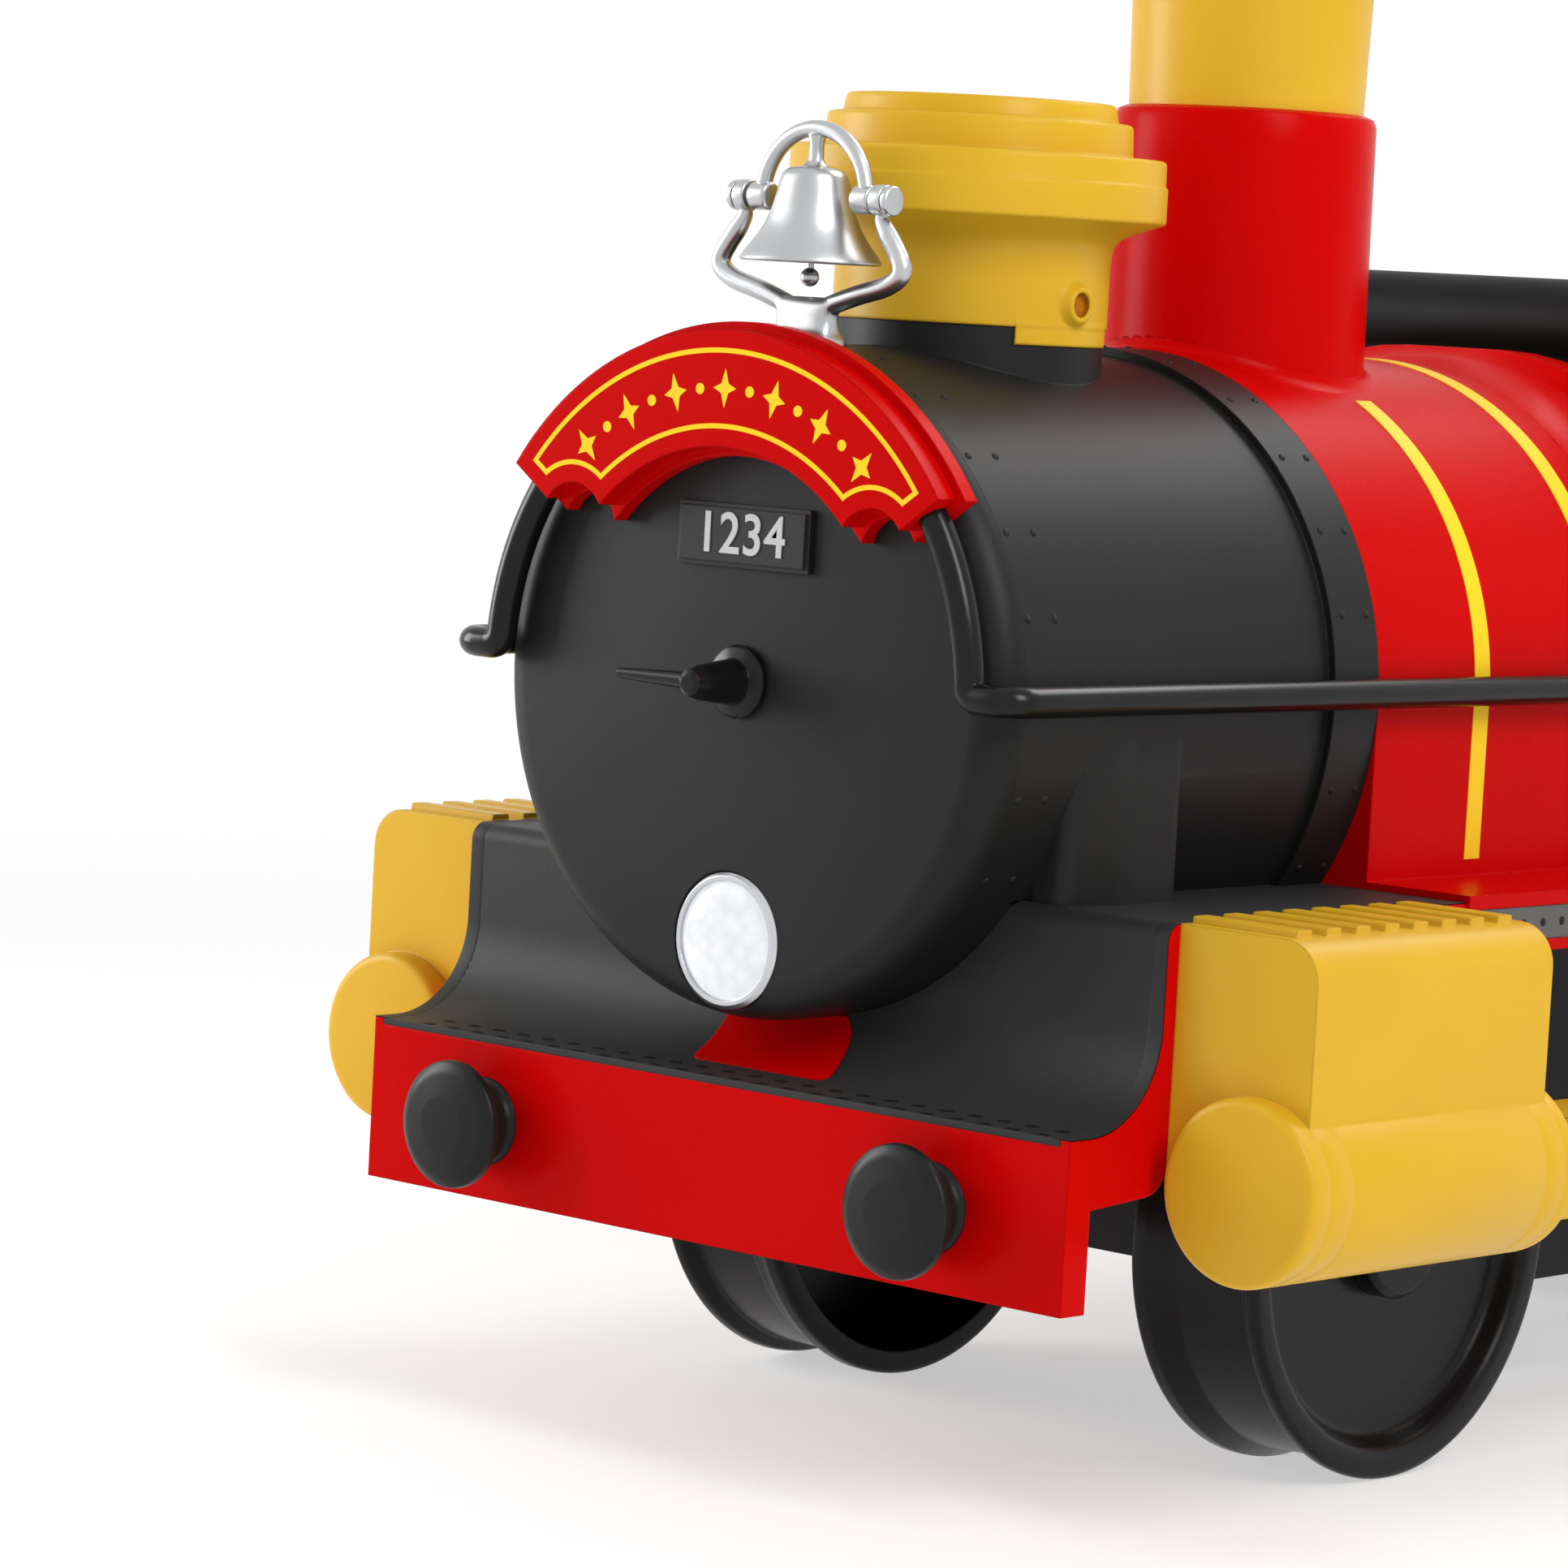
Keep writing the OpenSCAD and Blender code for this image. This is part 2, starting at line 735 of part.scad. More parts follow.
module smokebox() {
  color(black) difference() {
    smokebox_outside();
    rod_y(ring_y - 1, boiler_y + 1, 0, axis_h, drum_r - wall);
    block([-saddle_hw + wall, upright_y + apron_edge + wall, foot_z - 1],
      [saddle_hw - wall, upright_y + saddle_len - wall, axis_h]);
    block([-drum_r - 9, upright_y, 0], [drum_r + 9, boiler_y + 1, foot_z]);
    difference() {
      block([-drum_r, sweep_y, 0], [drum_r, upright_y + 1, sweep_z]);
      rod_x(-drum_r, drum_r, sweep_y, sweep_z, sweep_r - seat_gap);
    }
    rod_z(axis_h, axis_h + dome_seat + collar_lip - wall, 0, dome_y, dome_in_r - collar_wall);
    pair() rod_x(tab_hw, drum_r, dome_y, dome_screw_z, screw_r + seat_gap);
  }
}

module smokebox_door() {
  edge = door_proud;
  color(black) difference() {
    turned_front(0, ring_y, axis_h) polygon(concat(
      [[0, door_proud - wall], [0, door_proud]],
      [for (i = [0:8]) [drum_r - edge + edge * sin(90 * i / 8), edge * cos(90 * i / 8)]],
      [for (i = [8:-1:0]) [drum_r - edge + (edge - wall) * sin(90 * i / 8), (edge - wall) * cos(90 * i / 8)]]
    ));
    rod_y(door_y - 1, ring_y + 1, 0, axis_h - lamp_drop, lamp_d / 2 + seat_gap);
  }
}

module door_dart() {
  base_t = 3;
  color(black) {
    turned_front(0, door_y, axis_h) polygon([
      [0, 0], [dart_d / 2, 0], [dart_d / 2, base_t - 1], [dart_d / 2 - 1, base_t], [8, base_t + 1],
      [6, dart_reach - 6], [4.5, dart_reach - 1], [3, dart_reach], [0, dart_reach]
    ]);
    translate([0, door_y - dart_reach + 8, axis_h]) rotate([0, -90, 0])
      cylinder(h = dart_len, r1 = 3.4, r2 = 1.8);
  }
}

module number_plate() {
  rim = 1.5;
  color(grey) {
    block([-plate_w / 2 - rim, door_y - plate_t + 1, axis_h + plate_rise - plate_h / 2 - rim],
      [plate_w / 2 + rim, door_y, axis_h + plate_rise + plate_h / 2 + rim]);
    block([-plate_w / 2, door_y - plate_t, axis_h + plate_rise - plate_h / 2],
      [plate_w / 2, door_y, axis_h + plate_rise + plate_h / 2]);
  }
}

// Name board outline, grown by a step
module name_2d(grow) {
  far = 3 * name_out;
  mid = (name_in + name_out) / 2;
  difference() {
    circle(name_out + grow);
    circle(name_in - grow);
    translate([0, -grow]) polygon([[0, 0], far * [cos(name_end), sin(name_end)], [far, -far], [-far, -far],
      far * [-cos(name_end), sin(name_end)]]);
    for (s = [-1, 1]) translate((mid - scallop_r) * [s * cos(name_end), sin(name_end)])
      circle(scallop_r - grow);
  }
}

module name_board() {
  color(red) translate([0, 0, axis_h]) {
    plate_front(door_y, name_back_t) name_2d(name_step);
    plate_front(door_y, name_back_t + name_t) name_2d(0);
  }
}

// Headlamp

module headlamp_bezel() {
  r = lamp_d / 2;
  color(silver) turned_front(0, door_y, axis_h - lamp_drop) polygon([
    [r - 5, -door_proud - 12], [r, -door_proud - 12], [r, lamp_proud - 1.5], [r - 1.5, lamp_proud],
    [r - 3, lamp_proud], [r - 3, lamp_proud - 4], [r - 5, lamp_proud - 4]
  ]);
}

module headlamp_lens() {
  r = lamp_d / 2 - 3 - seat_gap;
  color([0.92, 0.95, 1.0]) turned_front(0, door_y - lamp_proud + 4, axis_h - lamp_drop) polygon([
    [0, 0], [r, 0], [r, 2.6], [r * 0.85, 4], [r * 0.6, 5.1], [r * 0.3, 5.8], [0, 6]
  ]);
}

module headlamp_reflector() {
  r = lamp_d / 2 - 5 - seat_gap;
  color(silver) turned_front(0, door_y, axis_h - lamp_drop) polygon([
    [5, -door_proud - 6], [r * 0.7, -door_proud], [r - 1.2, lamp_proud - 6], [r - 1.2, lamp_proud - 4],
    [r, lamp_proud - 4], [r, lamp_proud - 6.4], [r * 0.7 + 1.4, -door_proud - 0.4], [6.2, -door_proud - 6.8]
  ]);
}

module headlamp_led() {
  r = lamp_d / 2 - 5 - seat_gap;
  color([1, 1, 0.9]) turned_front(0, ring_y + 11.6, axis_h - lamp_drop) polygon([
    [0, 0], [r, 0], [r, 1.6], [4.6, 1.6], [4.6, 6], [3.4, 8.4], [0, 9.4]
  ]);
}

// Bell

module bell_bracket() {
  color(silver) difference() {
    union() {
      pair() {
        strut([0, crotch_z], [knee_x, knee_z], bell_y, arm_r);
        translate([knee_x, bell_y, knee_z]) sphere(arm_r);
        strut([knee_x, knee_z], [boss_x, pivot_z], bell_y, arm_r);
        rod_x(boss_x - boss_hw, boss_x + boss_hw, bell_y, pivot_z, boss_r);
      }
      plate_front(bell_y + arm_r, arm_d) polygon([
        [-foot_hw * 0.8, drum_top - 6], [foot_hw * 0.8, drum_top - 6], [foot_hw * 0.55, drum_top + 8],
        [foot_hw * 0.7, crotch_z + 1], [-foot_hw * 0.7, crotch_z + 1], [-foot_hw * 0.55, drum_top + 8]
      ]);
      block([-foot_hw, bell_y - foot_hl, drum_top - 6], [foot_hw, bell_y + foot_hl, drum_top + 4]);
    }
    pair() {
      rod_x(0, knee_x, bell_y, pivot_z, trunnion_r + run_fit);
      rod_x(0, boss_x - boss_hw, bell_y, pivot_z, hub_ball_r + side_gap);
      rod_x(boss_x + boss_hw, knee_x + arm_r, bell_y, pivot_z, hub_ball_r + side_gap);
    }
    rod_y(bell_y - 2 * foot_hl, bell_y + 2 * foot_hl, 0, axis_h, drum_r + seat_gap);
  }
}

// Bell cup, profile from the mouth up
function bell_side(shrink) = [
  [bell_r - shrink, -bell_drop], [bell_r - shrink - 0.5, -bell_drop + 2],
  [bell_r * 0.75 - shrink, -bell_drop + 9], [bell_r * 0.58 - shrink, -bell_drop + 17],
  [bell_r * 0.49 - shrink, bell_crown - 8 - shrink],
  [bell_r * 0.43 - shrink, bell_crown - 2 - shrink], [bell_r * 0.3 - shrink, bell_crown - shrink]
];

module bell() {
  yoke_tube = 2.75;
  color(silver) translate([0, bell_y, pivot_z]) {
    rotate_extrude() polygon(concat(
      bell_side(0),
      [[0, bell_crown], [0, bell_crown - bell_wall]],
      [for (i = [6:-1:0]) bell_side(bell_wall)[i]]
    ));
    rod_z(bell_crown - 1, yoke_r, 0, 0, 2.5);
    rotate([90, 0, 0]) tube_arc(yoke_r, 180, yoke_tube);
    pair() {
      translate([yoke_r, 0, 0]) sphere(hub_ball_r);
      rod_x(yoke_r, boss_x + boss_hw + 2.5, 0, 0, trunnion_r);
      rod_x(boss_x + boss_hw + side_gap, boss_x + boss_hw + 3, 0, 0, hub_ball_r);
    }
    rod_x(-pin_hw, pin_hw, 0, clapper_z - pivot_z, clapper_pin_r);
  }
}

module bell_clapper() {
  color(silver) difference() {
    translate([0, bell_y, pivot_z]) {
      rod_z(-ball_drop, clapper_z - pivot_z, 0, 0, 1.2);
      translate([0, 0, -ball_drop]) sphere(ball_r);
      rod_x(-eye_hw, eye_hw, 0, clapper_z - pivot_z, eye_r);
    }
    rod_x(-pin_hw, pin_hw, bell_y, clapper_z, clapper_pin_r + run_fit);
  }
}

// Dome and chimney

module steam_dome() {
  flange_r = dome_d / 2;
  low = axis_h + dome_seat;
  high = axis_h + dome_top;
  tab_low = low - tab_drop;
  color(yellow) difference() {
    union() {
      translate([0, dome_y, 0]) rotate_extrude() polygon([
        [0, low], [dome_neck_r, low], [dome_neck_r, low + 24], [dome_neck_r + 1, low + 29],
        [dome_neck_r + 4, low + 32], [dome_neck_r + 9, low + 34.2], [flange_r - 1, low + 37],
        [flange_r, low + 38.5], [flange_r, low + 50], [flange_r - 0.8, low + 50.8],
        [flange_r - 0.8, high - 20], [flange_r - 2, high - 18.6], [flange_r - 12.7, high - 18.2],
        [flange_r - 13.2, high - 8], [flange_r - 14.5, high - 6.8], [flange_r - 18.5, high - 6.5],
        [flange_r - 19.4, high - 1.5], [flange_r - 20.7, high], [0, high]
      ]);
      intersection() {
        rod_z(tab_low, low + 1, 0, dome_y, dome_neck_r);
        pair() block([dome_in_r, dome_y - tab_hw, tab_low], [dome_neck_r, dome_y + tab_hw, low + 1]);
      }
      pair() rod_x(dome_in_r, dome_neck_r + dome_boss_out, dome_y, dome_screw_z, dome_boss_r);
    }
    rod_z(tab_low - 1, low + 24, 0, dome_y, dome_in_r);
    rod_z(low + 23, high - 3, 0, dome_y, dome_in_r - 3);
    pair() rod_x(0, drum_r, dome_y, dome_screw_z, screw_r + seat_gap);
    pair() rod_x(dome_neck_r - 1, drum_r, dome_y, dome_screw_z, dome_boss_bore);
  }
}

module dome_screws() {
  color(steel) pair() rod_x(dome_in_r - collar_wall + 1, dome_neck_r - 1, dome_y, dome_screw_z, screw_r);
}

module chimney_stack() {
  top = axis_h + stack_top;
  foot = axis_h + chimney_base_top - socket_depth;
  color(yellow) translate([0, chimney_y, 0]) rotate_extrude() polygon([
    [stack_r - stack_wall, foot], [stack_r, foot], [stack_r, foot + socket_depth],
    [stack_r + 1.5, top - 22], [stack_r + 6, top - 14], [stack_r + 7, top - 12], [stack_r + 7, top - 2],
    [stack_r + 5, top], [stack_r - stack_wall + 1, top], [stack_r - stack_wall, top - 1]
  ]);
}

// Red boiler with the chimney base, the flare and the cowl

function cowl_ring(y, share) = [for (p = arch(
    barrel_r + share * (cowl_hw - barrel_r),
    barrel_r + share * (cowl_rise - barrel_r),
    barrel_r - 0.5 + share * (cowl_r - barrel_r + 0.5),
    deck_h - axis_h
  )) [p.x, y, axis_h + p.y]];

module cowl() {
  steps = 6;
  loft(concat(
    [cowl_ring(flare_y - 1, 0)],
    [for (i = [0:steps]) let (t = i / steps) cowl_ring(flare_y + flare_len * t, 1 - sqrt(1 - t * t))],
    [cowl_ring(seat_y, 1)]
  ));
}

module barrel(r, y0, y1) {
  rod_y(y0, y1, 0, axis_h, r);
  block([-r, y0, deck_h - 1], [r, y1, axis_h]);
}

// Hand space under the bar, with its floor and front moved out by a skin
module hand_space(skin) {
  x = hand_hw + skin;
  drop = skin / cos(console_tilt);
  fall = (seat_y + 1 - hand_y) * tan(console_tilt);
  slab_x(-x, x) polygon([
    [hand_y - skin, hand_z - drop + skin * tan(console_tilt)], [seat_y + 1, hand_z - drop - fall],
    [seat_y + 1, axis_h + cowl_rise + 9], [hand_y - skin, axis_h + cowl_rise + 9]
  ]);
}

module leg_socket(r, low) {
  pair() rod_z(low, axis_h + cowl_rise + 9, leg_x, bar_y, r);
}

module boiler_shell() {
  base_top = axis_h + chimney_base_top;
  color(red) difference() {
    union() {
      intersection() {
        barrel(barrel_r, boiler_y, flare_y);
        block([-barrel_w, boiler_y, deck_h], [barrel_w, flare_y, axis_h + barrel_w]);
      }
      cowl();
      block([-edge_x, boiler_y, deck_h], [edge_x, seat_y, board_z]);
      translate([0, chimney_y, 0]) rotate_extrude() polygon([
        [0, barrel_top - 30], [chimney_r + 1, barrel_top - 30], [chimney_r, base_top - 4],
        [chimney_r - 1.2, base_top - 1.2], [chimney_r - 4, base_top], [0, base_top]
      ]);
    }
    difference() {
      barrel(barrel_r - wall, boiler_y + wall, seat_y - wall);
      hand_space(wall);
      leg_socket(socket_r, leg_foot - wall);
    }
    hand_space(0);
    leg_socket(bar_r + seat_gap, leg_foot);
    rod_z(base_top - socket_depth, base_top + 1, 0, chimney_y, stack_r + seat_gap);
    rod_z(axis_h, base_top - socket_depth - wall, 0, chimney_y, stack_r - stack_wall);
  }
}

// Handrails and buffers

module handrail() {
  r = rail_d / 2;
  x = barrel_r + rail_gap + r;
  z = axis_h + rail_rise;
  arc_r = drum_r - 3;
  front_x = sqrt(arc_r * arc_r - rail_rise * rail_rise);
  front_y = door_y - rail_front;
  bend = x - front_x;
  end_y = flare_y - 12;
  end_bend = rail_gap + r;
  rail_ball = 0.4;
  a0 = asin(rail_rise / arc_r);
  a1 = name_end - (name_step * cos(name_end) + seat_gap) / arc_r * 180 / PI;
  color(black) {
    rod_y(front_y + bend, end_y - end_bend, x, z, r);
    translate([front_x, front_y + bend, z]) rotate(-90) tube_arc(bend, 90, r);
    translate([front_x, front_y, z]) sphere(r + rail_ball);
    translate([0, front_y, axis_h]) rotate([90, 0, 0]) rotate(a0) tube_arc(arc_r, a1 - a0, r);
    translate([x - end_bend, end_y - end_bend, z]) tube_arc(end_bend, 90, r);
  }
}

module handrail_left() {
  handrail();
}

module handrail_right() {
  mirror([1, 0, 0]) handrail();
}

module buffer() {
  r = buffer_d / 2;
  shank = r * 0.6;
  head = 9;
  color(grey) turned_front(buffer_x, beam_y, beam_low + beam_h / 2) polygon([
    [0, 0], [shank, 0], [shank, buffer_reach - head], [r - 2, buffer_reach - head + 1],
    [r, buffer_reach - head + 3], [r, buffer_reach - 4], [r - 1.5, buffer_reach - 2.4],
    [r * 0.6, buffer_reach - 0.6], [0, buffer_reach]
  ]);
}

module buffer_left() {
  buffer();
}

module buffer_right() {
  mirror([1, 0, 0]) buffer();
}

// Cylinders and footrests

// Turned side of the round cylinder, with a low band near each end
function drum_side(r, y0, y1, soft, band) = let (
    curve = [for (i = [0:5]) [r - soft + soft * sin(18 * i), soft * (1 - cos(18 * i))]],
    ring = [[r, band_in], [r + band, band_in + 0.6], [r + band, band_in + band_w],
      [r, band_in + band_w + 0.6]],
    half = concat([[0, 0]], curve, ring),
    last = len(half) - 1
  ) concat(
    [for (p = half) [p.x, y0 + p.y]],
    [for (i = [last:-1:0]) [half[i].x, y1 - half[i].y]]
  );

// Box and drum of a cylinder block, shrunk by a skin
module cylinder_mass(skin) {
  y0 = ring_y + cyl_back + skin;
  y1 = ring_y + cyl_back + cyl_len - skin;
  x0 = beam_hw - 2 * cyl_soft;
  x1 = beam_hw + cyl_w - skin;
  z0 = cyl_h - 2 * cyl_soft;
  z1 = foot_z - skin;
  soft = cyl_soft - skin;
  intersection() {
    slab_x(x0, x1) {
      soft_rect([y0, cyl_h], [y1, z1], cyl_heel - skin);
      soft_rect([y0, cyl_h], [y0 + cyl_len / 2, z1], soft);
      translate([y0, cyl_h]) square([y1 - y0, 2 * cyl_heel]);
    }
    plate_front(y1, y1 - y0) soft_rect([x0, z0], [x1, z1], soft);
    translate([0, 0, z0]) linear_extrude(z1 - z0) soft_rect([x0, y0], [x1, y1], soft);
  }
  translate([beam_hw + cyl_out, 0, cyl_h]) rotate([-90, 0, 0]) rotate_extrude()
    polygon(drum_side(cyl_r - skin, y0 - cyl_over, y1 + cyl_tail, drum_soft - skin,
      skin == 0 ? band_up : 0.1));
}

module cylinder_block() {
  ribs = 8;
  rib_w = 5;
  rib_h = 2.5;
  rib_pitch = (cyl_len - cyl_heel - cyl_soft + 1) / (ribs - 1);
  y0 = ring_y + cyl_back;
  color(yellow) difference() {
    union() {
      difference() {
        cylinder_mass(0);
        cylinder_mass(cyl_wall);
      }
      for (i = [0:ribs - 1]) translate([0, y0 + cyl_soft + i * rib_pitch, 0])
        block([beam_hw + 1, -rib_w / 2, foot_z - 1.5], [beam_hw + cyl_w - 12, rib_w / 2, foot_z + rib_h]);
    }
    block([0, y0 - 20, 0], [beam_hw, y0 + cyl_len + 20, axis_h]);
  }
}

module cylinder_left() {
  cylinder_block();
}

module cylinder_right() {
  mirror([1, 0, 0]) cylinder_block();
}

module footrest() {
  y0 = ring_y + cyl_back + cyl_len + 7;
  y1 = y0 + step_len;
  arm_t = 12;
  arm_l = 30;
  groove = 2;
  color(yellow) difference() {
    union() {
      translate([0, 0, step_h - step_t]) linear_extrude(step_t)
        soft_rect([edge_x, y0], [beam_hw + step_w, y1], 6);
      block([edge_x, y0, step_h - step_t], [beam_hw + step_w, y0 + 20, step_h]);
      block([edge_x, y1 - arm_l - 6, step_h - 6], [edge_x + arm_t, y1 - 6, deck_h]);
    }
    for (i = [1:7]) block([edge_x + arm_t + 4, y0 + 20 + i * 24, step_h - groove],
      [beam_hw + step_w + 1, y0 + 23 + i * 24, step_h + 1]);
    block([edge_x + 4, y0 + 4, step_h - step_t - 1], [beam_hw + step_w - 4, y1 - 4, step_h - 6]);
  }
}

module footrest_left() {
  footrest();
}

module footrest_right() {
  mirror([1, 0, 0]) footrest();
}

// Running gear

module wheel(y) {
  w = wheel_w;
  out = w - recess_deep;
  color(black) turned_x(wheel_in, y, axle_z) polygon([
    [bore_r, 0], [hub_r, 0], [hub_r, out - web_t], [barrel_in, out - web_t], [barrel_in, 0], [wheel_r - 2, 0],
    [wheel_r, 2], [wheel_r, 6], [tread_r, 9], [tread_r, w - 14], [wheel_r, w - 10], [wheel_r, w - 5],
    [wheel_r - 1.2, w - 1.8], [wheel_r - 3.6, w], [recess_r + 2.4, w - 0.4], [recess_r + 0.4, w - 2.4],
    [recess_r - 0.8, out + 2.4], [recess_r - 2.6, out + 0.5], [recess_r - 5, out], [bore_r, out]
  ]);
}

module hub_cap(y) {
  r = cap_d / 2;
  turned_x(web_x + side_gap, y, axle_z) polygon([
    [bore_r, 0], [r, 0], [r, cap_end - web_x - side_gap - 2], [r - 2, cap_end - web_x - side_gap],
    [0, cap_end - web_x - side_gap], [0, axle_end - web_x], [bore_r, axle_end - web_x]
  ]);
}

module front_axle() {
  color(steel) rod_x(-axle_end, axle_end, front_axle_y, axle_z, axle_r);
}

module rear_axle() {
  color(steel) rod_x(-axle_end, axle_end, rear_axle_y, axle_z, axle_r);
}

module axle_bushes() {
  color(nylon) pair() for (y = [front_axle_y, rear_axle_y]) turned_x(frame_hw - frame_t, y, axle_z) polygon([
    [bore_r, 0], [bush_r, 0], [bush_r, frame_t], [bush_r + bush_lip, frame_t],
    [bush_r + bush_lip, wheel_in - side_gap - frame_hw + frame_t],
    [bore_r, wheel_in - side_gap - frame_hw + frame_t]
  ]);
}

module front_wheel_left() {
  wheel(front_axle_y);
}

module front_wheel_right() {
  mirror([1, 0, 0]) wheel(front_axle_y);
}

module rear_wheel_left() {
  wheel(rear_axle_y);
}

module rear_wheel_right() {
  mirror([1, 0, 0]) wheel(rear_axle_y);
}

module front_hub_caps() {
  color(black) pair() hub_cap(front_axle_y);
}

module rear_hub_caps() {
  color(black) pair() hub_cap(rear_axle_y);
}

// Drive

module drive_gear() {
  color(nylon) difference() {
    gear_x(wide_x, gear_w, rear_axle_y, drive_n, 0);
    rod_x(0, cover_x, rear_axle_y, axle_z, bore_r);
  }
}

module idler_gear() {
  color(nylon) difference() {
    union() {
      gear_x(wide_x, gear_w + 1.5, idler_y, small_n, 180 / small_n);
      gear_x(big_x, big_w, idler_y, big_n, 0);
    }
    rod_x(0, cover_x, idler_y, axle_z, pin_r + run_fit);
  }
}

module idler_pin() {
  color(steel) rod_x(case_x, cover_x + case_t, idler_y, axle_z, pin_r);
}

module motor_pinion() {
  color(steel) {
    gear_x(big_x, big_w, motor_y, pinion_n, 180 / pinion_n);
    rod_x(case_x - shaft_in, big_x + big_w, motor_y, axle_z, shaft_r);
  }
}

module motor() {
  r = motor_d / 2;
  color(steel) difference() {
    union() {
      rod_x(case_x - motor_len, case_x, motor_y, axle_z, r);
      rod_x(case_x - motor_len - motor_tail, case_x, motor_y, axle_z, 6);
    }
    rod_x(case_x - shaft_in - side_gap, case_x + 1, motor_y, axle_z, shaft_r + run_fit);
  }
}

module gearbox_case() {
  color(grey) difference() {
    block([case_x, case_y0, case_low], [cover_x, case_y1, case_top]);
    block([case_x + case_t, case_y0 + case_t, case_low + case_t],
      [cover_x + 1, case_y1 - case_t, case_top - case_t]);
    rod_x(0, cover_x, rear_axle_y, axle_z, axle_r + side_gap);
    rod_x(0, cover_x, idler_y, axle_z, pin_r + run_fit);
    rod_x(0, cover_x, motor_y, axle_z, shaft_r + side_gap);
  }
}

module gearbox_cover() {
  color(grey) difference() {
    block([cover_x, case_y0, case_low], [cover_x + case_t, case_y1, case_top]);
    rod_x(0, cover_x + 2 * case_t, rear_axle_y, axle_z, axle_r + side_gap);
    rod_x(0, cover_x + 2 * case_t, idler_y, axle_z, pin_r + run_fit);
  }
}

module battery() {
  hw = battery_w / 2;
  top = frame_floor + battery_h;
  color([0.16, 0.17, 0.19]) {
    block([-hw, battery_y, frame_floor], [hw, battery_y + battery_l, top]);
    for (x = [-hw / 2, hw / 2]) block([x - 3, battery_y + 8, top - 1], [x + 3, battery_y + 9, top + 6]);
  }
}

module battery_clamp() {
  hw = battery_w / 2;
  top = frame_floor + battery_h;
  mid = battery_y + battery_l / 2;
  color(steel) {
    block([-hw - clamp_t, mid - clamp_hw, top], [hw + clamp_t, mid + clamp_hw, top + clamp_t]);
    pair() block([hw, mid - clamp_hw, frame_floor], [hw + clamp_t, mid + clamp_hw, top + clamp_t]);
    pair() block([hw, mid - clamp_hw, frame_floor], [hw + clamp_foot, mid + clamp_hw, frame_floor + clamp_t]);
  }
}

// Seat, bunker and backrest

module rear_body() {
  seat_hw = seat_box_w / 2;
  hw = bunker_w / 2;
  color(red) difference() {
    union() {
      block([-edge_x, seat_y, deck_h], [edge_x, tail_y, board_z]);
      block([-seat_hw, seat_y, deck_h], [seat_hw, bunker_y + 30, seat_box_h]);
      soft_box([-hw, bunker_y, deck_h], [hw, tail_y, bunker_h], bunker_soft, bunker_shoulder);
    }
    block([-seat_hw + wall, seat_y + wall, deck_h - 1], [seat_hw - wall, bunker_y + 20, seat_box_h - wall]);
    soft_box([-hw + wall, bunker_y + wall, deck_h - 40], [hw - wall, tail_y - wall, bunker_h - wall],
      bunker_soft - wall, bunker_shoulder - wall);
    battery_hatch(deck_h, seat_box_h + 1);
  }
}

module seat() {
  hw = seat_w / 2;
  y0 = seat_y + 2;
  y1 = bunker_y - back_t - 2;
  top = seat_box_h + seat_t;
  dish_r = (hw * hw * 0.64 + seat_dish * seat_dish) / (2 * seat_dish);
  color(black) difference() {
    soft_box([-hw, y0, seat_box_h], [hw, y1, top], 40, 16);
    rod_y(y0 - 1, y1 + 1, 0, top - seat_dish + dish_r, dish_r, $fn = fine_fn);
    block([-hw + 8, y0 + 40, seat_box_h - 1], [hw - 8, y1 - 40, seat_box_h + 12]);
  }
}

module backrest() {
  hw = back_w / 2;
  color(black) intersection() {
    plate_front(bunker_y, back_t) soft_rect([-hw, back_low], [hw, back_low + back_h], 24);
    rod_z(back_low - 1, back_low + back_h + 1, 0, bunker_y - back_t + 4 * hw, 4 * hw, $fn = fine_fn);
  }
}

// Handlebar and console

module handlebar() {
  straight = leg_x - bar_bend;
  color(black) {
    rod_x(-straight, straight, bar_y, bar_z, bar_r);
    pair() {
      translate([straight, bar_y, bar_z - bar_bend]) rotate([90, 0, 0]) tube_arc(bar_bend, 90, bar_r);
      rod_z(leg_foot, bar_z - bar_bend, leg_x, bar_y, bar_r);
    }
  }
}

module handlebar_grip() {
  straight = leg_x - bar_bend - 2;
  color([0.07, 0.07, 0.07]) difference() {
    rod_x(-straight, straight, bar_y, bar_z, grip_d / 2);
    rod_x(-straight - 1, straight + 1, bar_y, bar_z, bar_r + run_fit);
  }
}

// Frame of the console: x across, y down the slope, z off its floor
module at_console() {
  translate([0, hand_y, hand_z]) rotate([-console_tilt, 0, 0]) children();
}

module console() {
  color(black) at_console() difference() {
    block([-console_hw, 2, 0], [console_hw, 2 + console_len, console_h]);
    block([-console_hw + console_t, 2 + console_t, -1],
      [console_hw - console_t, 2 + console_len - console_t, console_h - console_t]);
    rod_z(0, console_h + 1, go_x, button_y, go_d / 2 + side_gap);
    for (x = [whistle_x, bell_button_x]) rod_z(0, console_h + 1, x, button_y, sound_d / 2 + side_gap);
    block([switch_x - switch_w / 2 - 0.8, button_y - switch_l / 2 - 1.2, 0],
      [switch_x + switch_w / 2 + 0.8, button_y + switch_l / 2 + 1.2, console_h + 1]);
    for (i = [-slat_n:slat_n])
      block([i * slat_pitch - 1, button_y - 12, 0], [i * slat_pitch + 1, button_y + 12, console_h + 1]);
  }
}

module push_button(x, d) {
  r = d / 2;
  at_console() translate([x, button_y, 0]) rotate_extrude() polygon([
    [0, flange_z - 2.2], [r + flange_over, flange_z - 2.2], [r + flange_over, flange_z], [r, flange_z],
    [r, console_h + cap_up - 1.2], [r - 1.2, console_h + cap_up], [0, console_h + cap_up + 0.6]
  ]);
}

module go_button() {
  color([0.10, 0.55, 0.15]) push_button(go_x, go_d);
}

